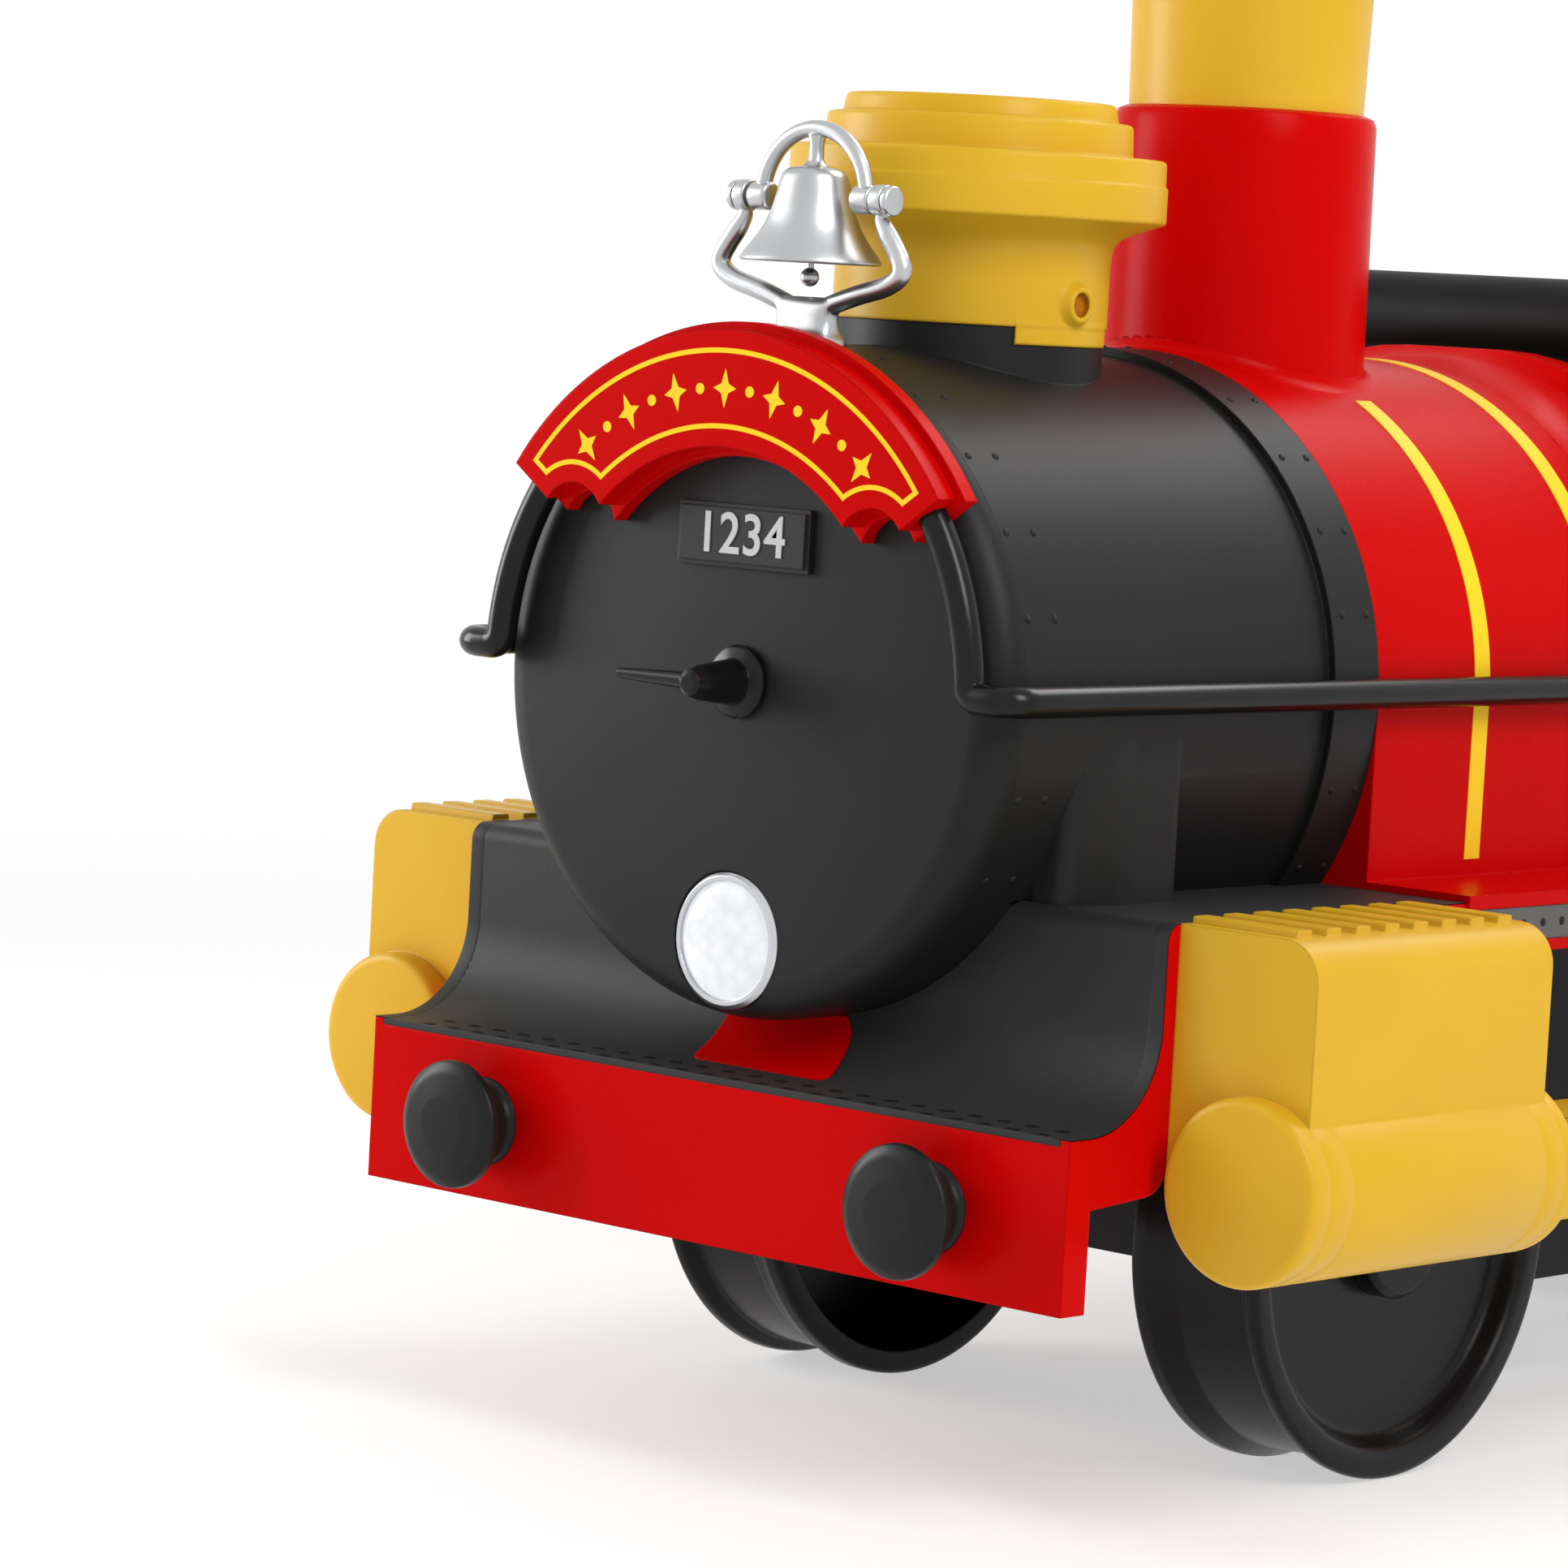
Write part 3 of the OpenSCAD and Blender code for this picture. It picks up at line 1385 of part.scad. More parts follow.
module whistle_button() {
  color(yellow) push_button(whistle_x, sound_d);
}

module bell_button() {
  color(red) push_button(bell_button_x, sound_d);
}

module direction_switch() {
  color([0.75, 0.75, 0.75]) at_console() translate([switch_x, button_y, switch_pivot]) {
    slab_x(-switch_w / 2, switch_w / 2) polygon([
      [-switch_l / 2, 4.5], [0, 2.2], [switch_l / 2, 4.5], [switch_l / 2, -1], [4, -5], [-4, -5],
      [-switch_l / 2, -1]
    ]);
    rod_x(-switch_w / 2 - 0.6, switch_w / 2 + 0.6, 0, 0, 1.2);
  }
}

module control_board() {
  color([0.05, 0.30, 0.14]) at_console() difference() {
    union() {
      block([-console_hw + console_t + 1, 3 + console_t, 0],
        [console_hw - console_t - 1, 1 + console_len - console_t, board_thick]);
      for (x = [go_x, whistle_x, bell_button_x])
        block([x - 3, button_y - 3, 0], [x + 3, button_y + 3, flange_z - 2.2 - button_travel - side_gap]);
    }
    rod_z(-1, console_h, 0, button_y, speaker_r + 1);
  }
}

module speaker() {
  color(black) at_console() translate([0, button_y, 0]) rotate_extrude() polygon([
    [0, 0], [9, 0], [9, 4], [speaker_r - 3, 7], [speaker_r, 8], [speaker_r, console_h - console_t],
    [speaker_r - 2, console_h - console_t], [speaker_r - 4, 9], [6, 5.5], [0, 6.5]
  ]);
}

chassis_frame();
front_footplate();
under_frame();
valance_strips();
smokebox();
smokebox_door();
door_dart();
number_plate();
name_board();
headlamp_bezel();
headlamp_lens();
headlamp_reflector();
headlamp_led();
bell_bracket();
bell();
bell_clapper();
steam_dome();
dome_screws();
boiler_shell();
chimney_stack();
handrail_left();
handrail_right();
buffer_left();
buffer_right();
cylinder_left();
cylinder_right();
footrest_left();
footrest_right();
front_axle();
axle_bushes();
front_wheel_left();
front_wheel_right();
front_hub_caps();
rear_axle();
rear_wheel_left();
rear_wheel_right();
rear_hub_caps();
drive_gear();
idler_gear();
idler_pin();
motor_pinion();
motor();
gearbox_case();
gearbox_cover();
battery();
battery_clamp();
rear_body();
seat();
backrest();
handlebar();
handlebar_grip();
console();
go_button();
whistle_button();
bell_button();
direction_switch();
control_board();
speaker();
frame_screws();
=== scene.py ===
"""Looks of a battery ride-on steam train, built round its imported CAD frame. Units are metres."""

import math

import bmesh
import bpy
from mathutils import Matrix, Vector


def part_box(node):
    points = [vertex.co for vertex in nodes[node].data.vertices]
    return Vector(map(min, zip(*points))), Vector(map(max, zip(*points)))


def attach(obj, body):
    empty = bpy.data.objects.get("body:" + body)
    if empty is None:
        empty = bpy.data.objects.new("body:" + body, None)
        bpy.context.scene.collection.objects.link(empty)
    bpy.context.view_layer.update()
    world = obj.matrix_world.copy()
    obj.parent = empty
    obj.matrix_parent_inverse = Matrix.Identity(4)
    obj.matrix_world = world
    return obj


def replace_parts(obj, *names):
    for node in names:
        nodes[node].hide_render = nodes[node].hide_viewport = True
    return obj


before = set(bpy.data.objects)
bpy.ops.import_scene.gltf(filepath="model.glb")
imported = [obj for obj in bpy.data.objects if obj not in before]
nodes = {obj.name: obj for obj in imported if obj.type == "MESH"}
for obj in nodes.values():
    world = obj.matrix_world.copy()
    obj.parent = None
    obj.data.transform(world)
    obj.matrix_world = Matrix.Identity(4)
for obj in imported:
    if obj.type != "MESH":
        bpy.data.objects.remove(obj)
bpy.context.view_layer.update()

MM = 0.001
TRAIN = "train"

# Stations of the CAD frame
RING_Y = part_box("smokebox")[0].y
BOILER_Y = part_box("smokebox")[1].y
BEAM_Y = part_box("chassis_frame")[0].y
DOOR_LOW, DOOR_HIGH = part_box("smokebox_door")
AXIS_Z = (DOOR_LOW.z + DOOR_HIGH.z) / 2
DRUM_R = (DOOR_HIGH.x - DOOR_LOW.x) / 2
BAND_PROUD = 3 * MM
BARREL_R = 118 * MM
FOOT_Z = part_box("front_footplate")[1].z
NAME_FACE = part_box("name_board")[0].y
PLATE_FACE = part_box("number_plate")[0].y


# Mesh helpers

def make_object(name, mesh, material, body=TRAIN, sharp=32):
    """A piece from a mesh, smooth except at edges sharper than an angle, riding on a body."""
    mesh.polygons.foreach_set("use_smooth", [True] * len(mesh.polygons))
    mesh.set_sharp_from_angle(angle=math.radians(sharp))
    obj = bpy.data.objects.new(name, mesh)
    bpy.context.scene.collection.objects.link(obj)
    mesh.materials.append(material)
    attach(obj, body)
    return obj


def make_mesh(name, verts, faces):
    """Mesh whose faces all look outward."""
    mesh = bpy.data.meshes.new(name)
    mesh.from_pydata([tuple(v) for v in verts], [], faces)
    bm = bmesh.new()
    bm.from_mesh(mesh)
    bmesh.ops.recalc_face_normals(bm, faces=bm.faces)
    bm.to_mesh(mesh)
    bm.free()
    return mesh


def join_meshes(name, meshes):
    """One mesh in place of several."""
    bm = bmesh.new()
    for mesh in meshes:
        bm.from_mesh(mesh)
        bpy.data.meshes.remove(mesh)
    joined = bpy.data.meshes.new(name)
    bm.to_mesh(joined)
    bm.free()
    return joined


def span(first, last, count):
    """Equally spaced values from first to last."""
    return [first + (last - first) * k / (count - 1) for k in range(count)]


def in_metres(points):
    """Points of a flat profile, given in millimetres."""
    return [(a * MM, b * MM) for a, b in points]


def bend(start, corner, end, steps):
    """Curve from start to end that is drawn towards a corner."""
    return [start * (1 - t) ** 2 + corner * 2 * t * (1 - t) + end * t ** 2 for t in span(0, 1, steps + 1)]


def rounded(points, steps=5):
    """Points (a, b) or (a, b, radius) of an open profile, with a curve at each radius."""
    out = []
    for i, p in enumerate(points):
        here = Vector(p[:2])
        radius = p[2] if len(p) > 2 else 0
        if not radius or i == 0 or i == len(points) - 1:
            out.append(here)
            continue
        back = (Vector(points[i - 1][:2]) - here)
        ahead = (Vector(points[i + 1][:2]) - here)
        half = back.angle(ahead) / 2
        reach = min(radius / math.tan(half), back.length * 0.49, ahead.length * 0.49)
        out += bend(here + back.normalized() * reach, here, here + ahead.normalized() * reach, steps)
    return out


def lathe_mesh(name, profile, place, segments=96):
    """Turned mesh from (radius, height) points, with the turning axis along the place's Z."""
    verts, rings = [], []
    for r, h in profile:
        if r < 1e-7:
            rings.append([len(verts)])
            verts.append(place @ Vector((0, 0, h)))
            continue
        rings.append(list(range(len(verts), len(verts) + segments)))
        for k in range(segments):
            a = 2 * math.pi * k / segments
            verts.append(place @ Vector((r * math.cos(a), r * math.sin(a), h)))
    faces = []
    for a, b in zip(rings, rings[1:]):
        if len(a) == 1 and len(b) == 1:
            continue
        for k in range(segments):
            n = (k + 1) % segments
            corners = [a[k % len(a)], a[n % len(a)], b[n % len(b)], b[k % len(b)]]
            faces.append(list(dict.fromkeys(corners)))
    return make_mesh(name, verts, faces)


def facing_front(x, y, z):
    """Place whose Z axis points to the front of the train."""
    return Matrix.Translation((x, y, z)) @ Matrix.Rotation(math.pi / 2, 4, "X")


def facing_left(x, y, z, side=1):
    """Place whose Z axis points to the train's left, or to its right."""
    return Matrix.Translation((x, y, z)) @ Matrix.Rotation(side * math.pi / 2, 4, "Y")


def upright(x, y, z):
    """Place whose Z axis points up."""
    return Matrix.Translation((x, y, z))


def tube_mesh(name, path, radii, segments=24):
    """Round bar along a path of points, with one radius or one for each point and closed ends."""
    if not isinstance(radii, (list, tuple)):
        radii = [radii] * len(path)
    path = [Vector(p) for p in path]
    tangents = []
    for i in range(len(path)):
        tangents.append((path[min(i + 1, len(path) - 1)] - path[max(i - 1, 0)]).normalized())
    side = tangents[0].orthogonal().normalized()
    verts, faces = [], []
    for p, t, r in zip(path, tangents, radii):
        side = (side - t * side.dot(t)).normalized()
        other = t.cross(side)
        for k in range(segments):
            a = 2 * math.pi * k / segments
            verts.append(p + (side * math.cos(a) + other * math.sin(a)) * r)
    for i in range(len(path) - 1):
        for k in range(segments):
            n = (k + 1) % segments
            a, b = i * segments, (i + 1) * segments
            faces.append([a + k, a + n, b + n, b + k])
    faces.append(list(range(segments)))
    faces.append([len(verts) - segments + k for k in range(segments)])
    return make_mesh(name, verts, faces)


def smooth_path(points, per_span=8):
    """Catmull-Rom curve through the points."""
    points = [Vector(p) for p in points]
    ends = [points[0] * 2 - points[1]] + points + [points[-1] * 2 - points[-2]]
    out = []
    for i in range(1, len(ends) - 2):
        a, b, c, d = ends[i - 1:i + 3]
        for k in range(per_span):
            t = k / per_span
            out.append(0.5 * (2 * b + (c - a) * t + (2 * a - 5 * b + 4 * c - d) * t * t
                              + (3 * b - a - 3 * c + d) * t ** 3))
    return out + [points[-1]]


def ribbon_mesh(name, lines, ring=False):
    """Solid strip, or ring, from cross sections, each a closed loop of equally many points."""
    verts = [v for line in lines for v in line]
    n, total = len(lines[0]), len(lines)
    faces = []
    for i in range(total if ring else total - 1):
        a, b = i * n, (i + 1) % total * n
        for k in range(n):
            m = (k + 1) % n
            faces.append([a + k, a + m, b + m, b + k])
    if not ring:
        faces.append(list(range(n)))
        faces.append([len(verts) - n + k for k in range(n)])
    return make_mesh(name, verts, faces)


def baked_mesh(holder):
    """Mesh of an object with its modifiers or its text made real. The object itself goes."""
    bpy.context.scene.collection.objects.link(holder)
    bpy.context.view_layer.update()
    mesh = bpy.data.meshes.new_from_object(holder.evaluated_get(bpy.context.evaluated_depsgraph_get()))
    bpy.data.objects.remove(holder)
    return mesh


def soft_block_mesh(name, low, high, width, share):
    """Box with rounded edges: share gives each edge's part of the width from its middle's place."""
    corners = [Vector((x, y, z)) for x in (low.x, high.x) for y in (low.y, high.y) for z in (low.z, high.z)]
    quads = [[0, 1, 3, 2], [4, 6, 7, 5], [0, 4, 5, 1], [2, 3, 7, 6], [0, 2, 6, 4], [1, 5, 7, 3]]
    mesh = make_mesh(name, corners, quads)
    size = high - low
    weights = mesh.attributes.new("bevel_weight_edge", "FLOAT", "EDGE")
    for edge, weight in zip(mesh.edges, weights.data):
        middle = (mesh.vertices[edge.vertices[0]].co + mesh.vertices[edge.vertices[1]].co) / 2 - low
        weight.value = share(middle.x / size.x, middle.y / size.y, middle.z / size.z)
    holder = bpy.data.objects.new(name, mesh)
    bevel = holder.modifiers.new("bevel", "BEVEL")
    bevel.limit_method = "WEIGHT"
    bevel.width = width
    bevel.segments = 8
    soft = baked_mesh(holder)
    bpy.data.meshes.remove(mesh)
    return soft


def dome_profile(r, h, steps=4):
    """Low domed head, from its rim to its crown."""
    return [(r * math.cos(a), h * math.sin(a)) for a in span(0, math.pi / 2, steps + 1)]


# Materials

DRIFT_DARK, DRIFT_LIGHT = 0.3, 0.68
GLOSS_DOWN, GLOSS_UP = 0.05, 0.07
RELIEF_DEPTH = 0.4 * MM


def new_material(name):
    """Material with its node tree and its shader."""
    material = bpy.data.materials.new(name)
    material.use_nodes = True
    tree = material.node_tree
    shader = tree.nodes["Principled BSDF"]
    return material, tree, shader


def add_node(tree, kind, **values):
    """Shader node with some inputs or settings filled in."""
    node = tree.nodes.new(kind)
    for key, value in values.items():
        if key in node.inputs:
            node.inputs[key].default_value = value
        else:
            setattr(node, key, value)
    return node


def moulded(name, colour, dark, rough, grain, bump, edge=0.9, specular=0.2, drift_scale=7.0):
    """Moulded plastic: slow drift of shade, fine surface grain, softened edges and uneven gloss."""
    material, tree, shader = new_material(name)
    link = tree.links.new
    place = add_node(tree, "ShaderNodeTexCoord")
    drift = add_node(tree, "ShaderNodeTexNoise", Scale=drift_scale, Detail=3.0, Roughness=0.6)
    link(place.outputs["Object"], drift.inputs["Vector"])
    shade = add_node(tree, "ShaderNodeValToRGB")
    shade.color_ramp.elements[0].position = DRIFT_DARK
    shade.color_ramp.elements[0].color = (*dark, 1)
    shade.color_ramp.elements[1].position = DRIFT_LIGHT
    shade.color_ramp.elements[1].color = (*colour, 1)
    link(drift.outputs["Fac"], shade.inputs["Fac"])
    link(shade.outputs["Color"], shader.inputs["Base Color"])
    fine = add_node(tree, "ShaderNodeTexNoise", Scale=grain, Detail=4.0, Roughness=0.65)
    link(place.outputs["Object"], fine.inputs["Vector"])
    gloss = add_node(tree, "ShaderNodeMapRange")
    gloss.inputs["To Min"].default_value = rough - GLOSS_DOWN
    gloss.inputs["To Max"].default_value = rough + GLOSS_UP
    link(fine.outputs["Fac"], gloss.inputs["Value"])
    link(gloss.outputs["Result"], shader.inputs["Roughness"])
    soft_edge = add_node(tree, "ShaderNodeBevel", samples=4)
    soft_edge.inputs["Radius"].default_value = edge * MM
    relief = add_node(tree, "ShaderNodeBump", Strength=bump, Distance=RELIEF_DEPTH)
    link(fine.outputs["Fac"], relief.inputs["Height"])
    link(soft_edge.outputs["Normal"], relief.inputs["Normal"])
    link(relief.outputs["Normal"], shader.inputs["Normal"])
    shader.inputs["Specular IOR Level"].default_value = specular
    return material


def metal(name, colour, dark, rough, grain, bump):
    """Metal or silver paint with a fine flake."""
    material = moulded(name, colour, dark, rough, grain, bump, edge=0.5)
    material.node_tree.nodes["Principled BSDF"].inputs["Metallic"].default_value = 1.0
    return material


RED = moulded("red_gloss", (0.60, 0.0012, 0.0010), (0.53, 0.001, 0.001), 0.26, 900, 0.02, 1.2, 0.03)
YELLOW = moulded("yellow_satin", (0.73, 0.44, 0.022), (0.67, 0.38, 0.016), 0.35, 1100, 0.03, 1.4, 0.18)
BLACK = moulded("black_satin", (0.013, 0.013, 0.013), (0.009, 0.009, 0.009), 0.42, 1500, 0.16, 1.0, 0.16)
RAIL_BLACK = moulded("black_gloss", (0.008, 0.008, 0.008), (0.005, 0.005, 0.005), 0.20, 900, 0.03, 0.9, 0.2)
WHEEL_BLACK = moulded("wheel_black", (0.008, 0.008, 0.009), (0.005, 0.005, 0.006), 0.26, 700, 0.01, 1.5, 0.16)
GREY = moulded("footplate_grey", (0.024, 0.024, 0.024), (0.017, 0.017, 0.017), 0.50, 1300, 0.22, 0.9, 0.22)
BUFFER_GREY = moulded("buffer_grey", (0.012, 0.012, 0.012), (0.008, 0.008, 0.008), 0.34, 900, 0.05, 0.9, 0.16)
PLATE_GREY = moulded("plate_grey", (0.021, 0.021, 0.021), (0.016, 0.016, 0.016), 0.45, 1500, 0.05)
STRIP_GREY = moulded("strip_grey", (0.13, 0.127, 0.124), (0.10, 0.098, 0.096), 0.40, 900, 0.06)
SEAT_BLACK = moulded("seat_grain", (0.022, 0.022, 0.023), (0.015, 0.015, 0.016), 0.48, 850, 0.30, 2.0)
NYLON = moulded("nylon_white", (0.72, 0.69, 0.62), (0.64, 0.61, 0.54), 0.45, 700, 0.05, 0.3)
CELL = moulded("battery_case", (0.05, 0.052, 0.06), (0.035, 0.036, 0.042), 0.50, 900, 0.08)
GREEN = moulded("button_green", (0.02, 0.33, 0.05), (0.014, 0.27, 0.04), 0.24, 900, 0.02, 0.6)
SWITCH_GREY = moulded("switch_grey", (0.52, 0.52, 0.51), (0.45, 0.45, 0.44), 0.35, 900, 0.03, 0.6)
BOARD_GREEN = moulded("board_green", (0.012, 0.12, 0.05), (0.008, 0.09, 0.035), 0.35, 500, 0.05, 0.2)
PAINT_YELLOW = moulded("paint_yellow", (0.97, 0.66, 0.016), (0.93, 0.60, 0.013), 0.32, 900, 0.02, 0.1, 0.1)
# Darker orange inside the dome's screw wells is painted shade of the hollows.
WELL_PAINTED_SHADE = moulded("well_painted_shade", (0.46, 0.17, 0.006), (0.40, 0.14, 0.005), 0.50, 900, 0.03, 0.2, 0.1)
DIGIT_WHITE = moulded("digit_white", (0.60, 0.61, 0.62), (0.54, 0.55, 0.56), 0.40, 1200, 0.03, 0.1)
# Near-black patches for the apron's slots are painted shade, standing in for the dark inside of the holes.
SLOT_PAINTED_SHADE = moulded("slot_painted_shade", (0.004, 0.004, 0.004), (0.002, 0.002, 0.002), 0.70, 900, 0.10, 0.1, 0.1)
RUBBER = moulded("grip_rubber", (0.007, 0.007, 0.007), (0.004, 0.004, 0.004), 0.50, 1400, 0.22, 0.3, 0.12)
SILVER = metal("silver_paint", (0.52, 0.53, 0.54), (0.42, 0.43, 0.44), 0.30, 2600, 0.08)
BRIGHT = metal("bright_rim", (0.60, 0.61, 0.63), (0.52, 0.53, 0.55), 0.22, 1200, 0.02)
STEEL = metal("drawn_steel", (0.52, 0.53, 0.54), (0.43, 0.44, 0.45), 0.30, 900, 0.06)


LENS_FACETS = 210.0
LENS_GLOW = 0.68
FACET_DEPTH = 0.5 * MM


def lit_lens():
    """Moulded lens with small facets, lit by the lamp behind it."""
    material, tree, shader = new_material("lit_lens")
    link = tree.links.new
    place = add_node(tree, "ShaderNodeTexCoord")
    facets = add_node(tree, "ShaderNodeTexVoronoi", Scale=LENS_FACETS)
    link(place.outputs["Object"], facets.inputs["Vector"])
    glow = add_node(tree, "ShaderNodeValToRGB")
    glow.color_ramp.elements[0].color = (1.0, 1.0, 1.0, 1)
    glow.color_ramp.elements[1].position = 0.9
    glow.color_ramp.elements[1].color = (0.80, 0.84, 0.86, 1)
    link(facets.outputs["Distance"], glow.inputs["Fac"])
    shader.inputs["Base Color"].default_value = (0.25, 0.25, 0.26, 1)
    link(glow.outputs["Color"], shader.inputs["Emission Color"])
    shader.inputs["Emission Strength"].default_value = LENS_GLOW
    shader.inputs["Roughness"].default_value = 0.12
    relief = add_node(tree, "ShaderNodeBump", Strength=0.25, Distance=FACET_DEPTH)
    link(facets.outputs["Distance"], relief.inputs["Height"])
    link(relief.outputs["Normal"], shader.inputs["Normal"])
    return material


LENS = lit_lens()

CAD_LOOKS = {
    "chassis_frame": RED, "front_footplate": GREY, "under_frame": BLACK, "valance_strips": STRIP_GREY,
    "smokebox": BLACK, "smokebox_door": BLACK, "door_dart": RAIL_BLACK, "number_plate": PLATE_GREY,
    "name_board": RED, "headlamp_bezel": BRIGHT, "headlamp_lens": LENS, "headlamp_reflector": BRIGHT,
    "headlamp_led": LENS, "bell_bracket": SILVER, "bell": SILVER, "bell_clapper": SILVER,
    "steam_dome": YELLOW, "dome_screws": STEEL, "boiler_shell": RED, "chimney_stack": YELLOW,
    "handrail_left": RAIL_BLACK, "handrail_right": RAIL_BLACK, "buffer_left": BUFFER_GREY,
    "buffer_right": BUFFER_GREY, "cylinder_left": YELLOW, "cylinder_right": YELLOW,
    "footrest_left": YELLOW, "footrest_right": YELLOW, "front_axle": STEEL, "axle_bushes": NYLON,
    "front_wheel_left": WHEEL_BLACK, "front_wheel_right": WHEEL_BLACK, "front_hub_caps": WHEEL_BLACK,
    "rear_axle": STEEL, "rear_wheel_left": WHEEL_BLACK, "rear_wheel_right": WHEEL_BLACK,
    "rear_hub_caps": WHEEL_BLACK, "drive_gear": NYLON, "idler_gear": NYLON, "idler_pin": STEEL,
    "motor_pinion": STEEL, "motor": STEEL, "gearbox_case": GREY, "gearbox_cover": GREY, "battery": CELL,
    "battery_clamp": STEEL, "rear_body": RED, "seat": SEAT_BLACK, "backrest": SEAT_BLACK,
    "handlebar": RAIL_BLACK, "handlebar_grip": RUBBER, "console": BLACK, "go_button": GREEN,
    "whistle_button": YELLOW, "bell_button": RED, "direction_switch": SWITCH_GREY,
    "control_board": BOARD_GREEN, "speaker": BLACK, "frame_screws": STEEL,
}
CREASE = math.radians(28)
WELD_REACH = 0.002 * MM


def dress_cad():
    """Gives each CAD node its material, and smooth shading between its hard edges."""
    for name, obj in nodes.items():
        mesh = obj.data
        mesh.materials.clear()
        mesh.materials.append(CAD_LOOKS[name])
        if "custom_normal" in mesh.attributes:
            mesh.attributes.remove(mesh.attributes["custom_normal"])
        mesh.polygons.foreach_set("use_smooth", [True] * len(mesh.polygons))
        weld = obj.modifiers.new("weld", "WELD")
        weld.merge_threshold = WELD_REACH
        crease = obj.modifiers.new("crease", "EDGE_SPLIT")
        crease.split_angle = CREASE


dress_cad()


# Smokebox rivets

RIVET_R = 1.5 * MM
RIVET_H = 0.8 * MM
RIVET_SINK = 0.1 * MM
RIVET_ROWS = [(DRUM_R, RING_Y + 3.5 * MM), (DRUM_R, RING_Y + 17.3 * MM),
              (DRUM_R + BAND_PROUD, BOILER_Y - 18.5 * MM), (DRUM_R + BAND_PROUD, BOILER_Y - 4.5 * MM)]
RIVET_TURNS = [math.radians(15 * step) for step in range(-2, 15)]


def drum_rivets():
    """Pairs of rivets round the smokebox's front edge and its rear band."""
    profile = dome_profile(RIVET_R, RIVET_H)
    meshes = []
    for radius, y in RIVET_ROWS:
        for angle in RIVET_TURNS:
            seat = radius - RIVET_SINK
            foot = Vector((seat * math.cos(angle), y, AXIS_Z + seat * math.sin(angle)))
            place = Matrix.Translation(foot) @ Matrix.Rotation(math.pi / 2 - angle, 4, "Y")
            meshes.append(lathe_mesh("rivet", profile, place, 12))
    make_object("smokebox_rivets", join_meshes("smokebox_rivets", meshes), BLACK)


drum_rivets()


# Stripes on the red barrel

STRIPE_PROUD = 0.35 * MM
STRIPE_LOW = AXIS_Z - 57 * MM
STRIPE_POINTS = 41
STRIPES = {"barrel_stripe_front": (57, 66, 61), "barrel_stripe_rear": (133.5, 143, 90)}


def stripe(name, y0, y1, start_angle):
    """Yellow band over the barrel, from a start angle on both sides down to the running board."""
    r_out, r_in = BARREL_R + STRIPE_PROUD, BARREL_R - STRIPE_PROUD
    corners = ((r_in, y0), (r_out, y0), (r_out, y1), (r_in, y1))
    meshes = []
    for side in (1, -1):
        line = [(math.cos(a) * side, math.sin(a)) for a in span(start_angle, 0, STRIPE_POINTS)]
        sections = [[Vector((c * r, y, AXIS_Z + s * r)) for r, y in corners] for c, s in line]
        sections.append([Vector((side * r, y, STRIPE_LOW)) for r, y in corners])
        meshes.append(ribbon_mesh(name, sections))
    make_object(name, join_meshes(name, meshes), PAINT_YELLOW)


for stripe_name, (stripe_near, stripe_far, stripe_start) in STRIPES.items():
    stripe(stripe_name, BOILER_Y + stripe_near * MM, BOILER_Y + stripe_far * MM, math.radians(stripe_start))


# Chimney foot

CHIMNEY_Y = (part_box("chimney_stack")[0].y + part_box("chimney_stack")[1].y) / 2
CHIMNEY_R = 48.7 * MM
FOOT_FILLET = 5 * MM
FOOT_SINK = 1 * MM
FOOT_SKIRT = 0.15 * MM
FOOT_TUCK = 0.1 * MM
FOOT_SEGMENTS = 144
DOWN = Vector((0, 0, -1))


def on_barrel(out, radius):
    """Point on the barrel's top, at a radius from the chimney's axis in a level direction."""
    x = radius * out.x
    return Vector((x, CHIMNEY_Y + radius * out.y, AXIS_Z + math.sqrt(BARREL_R ** 2 - x ** 2)))


def chimney_foot():
    """Soft concave corner where the chimney base rises out of the barrel."""
    sections = []
    for k in range(FOOT_SEGMENTS):
        a = 2 * math.pi * k / FOOT_SEGMENTS
        out = Vector((math.cos(a), math.sin(a), 0))
        low = on_barrel(out, CHIMNEY_R + FOOT_FILLET) + DOWN * FOOT_SKIRT
        corner = on_barrel(out, CHIMNEY_R)
        high = corner - DOWN * FOOT_FILLET - out * FOOT_TUCK
        sections.append(bend(low, corner, high, 8) + [corner - out * FOOT_SINK + DOWN * FOOT_SINK])
    mesh = ribbon_mesh("chimney_foot", sections, ring=True)
    make_object("chimney_foot", mesh, RED, sharp=60)


chimney_foot()


# Bell

BELL_Y = RING_Y + 11 * MM
PIVOT_Z = AXIS_Z + 163.7 * MM
YOKE_R = 23.5 * MM
YOKE_TUBE = 2.75 * MM
BOSS_X = 31 * MM
BELL_OUTSIDE = [(24.0, -21.7), (24.1, -20.9), (22.6, -18.5), (19.4, -14.2), (16.4, -9.4), (14.2, -4.0),
                (12.9, 1.0), (12.0, 5.0), (10.8, 8.2), (8.2, 10.0), (4.6, 10.5)]
BELL_LIP = [(23.2, -22.0), (22.4, -21.9)]
BELL_INSIDE = [(4.0, 8.2), (8.4, 6.4), (9.8, 2.0), (11.0, -2.5), (13.2, -8.0), (16.6, -13.4), (20.2, -18.4),
               (21.9, -21.4)]
BELL_CROWN, BELL_CEILING = (0, 10.6), (0, 8.4)
BELL_STEM = [(0, 10.0), (5.2, 10.2), (3.4, 11.6), (2.6, 13.2), (2.5, 18.0), (3.2, 21.0), (0, 22.5)]
TRUNNION_SIDE = [(0, -4.6), (4.8, -4.2, 1.4), (4.8, 3.6, 1.0), (3.0, 4.2), (3.0, 10.4), (5.2, 10.5, 0.3),
                 (5.2, 13.0, 1.2), (0, 13.2)]
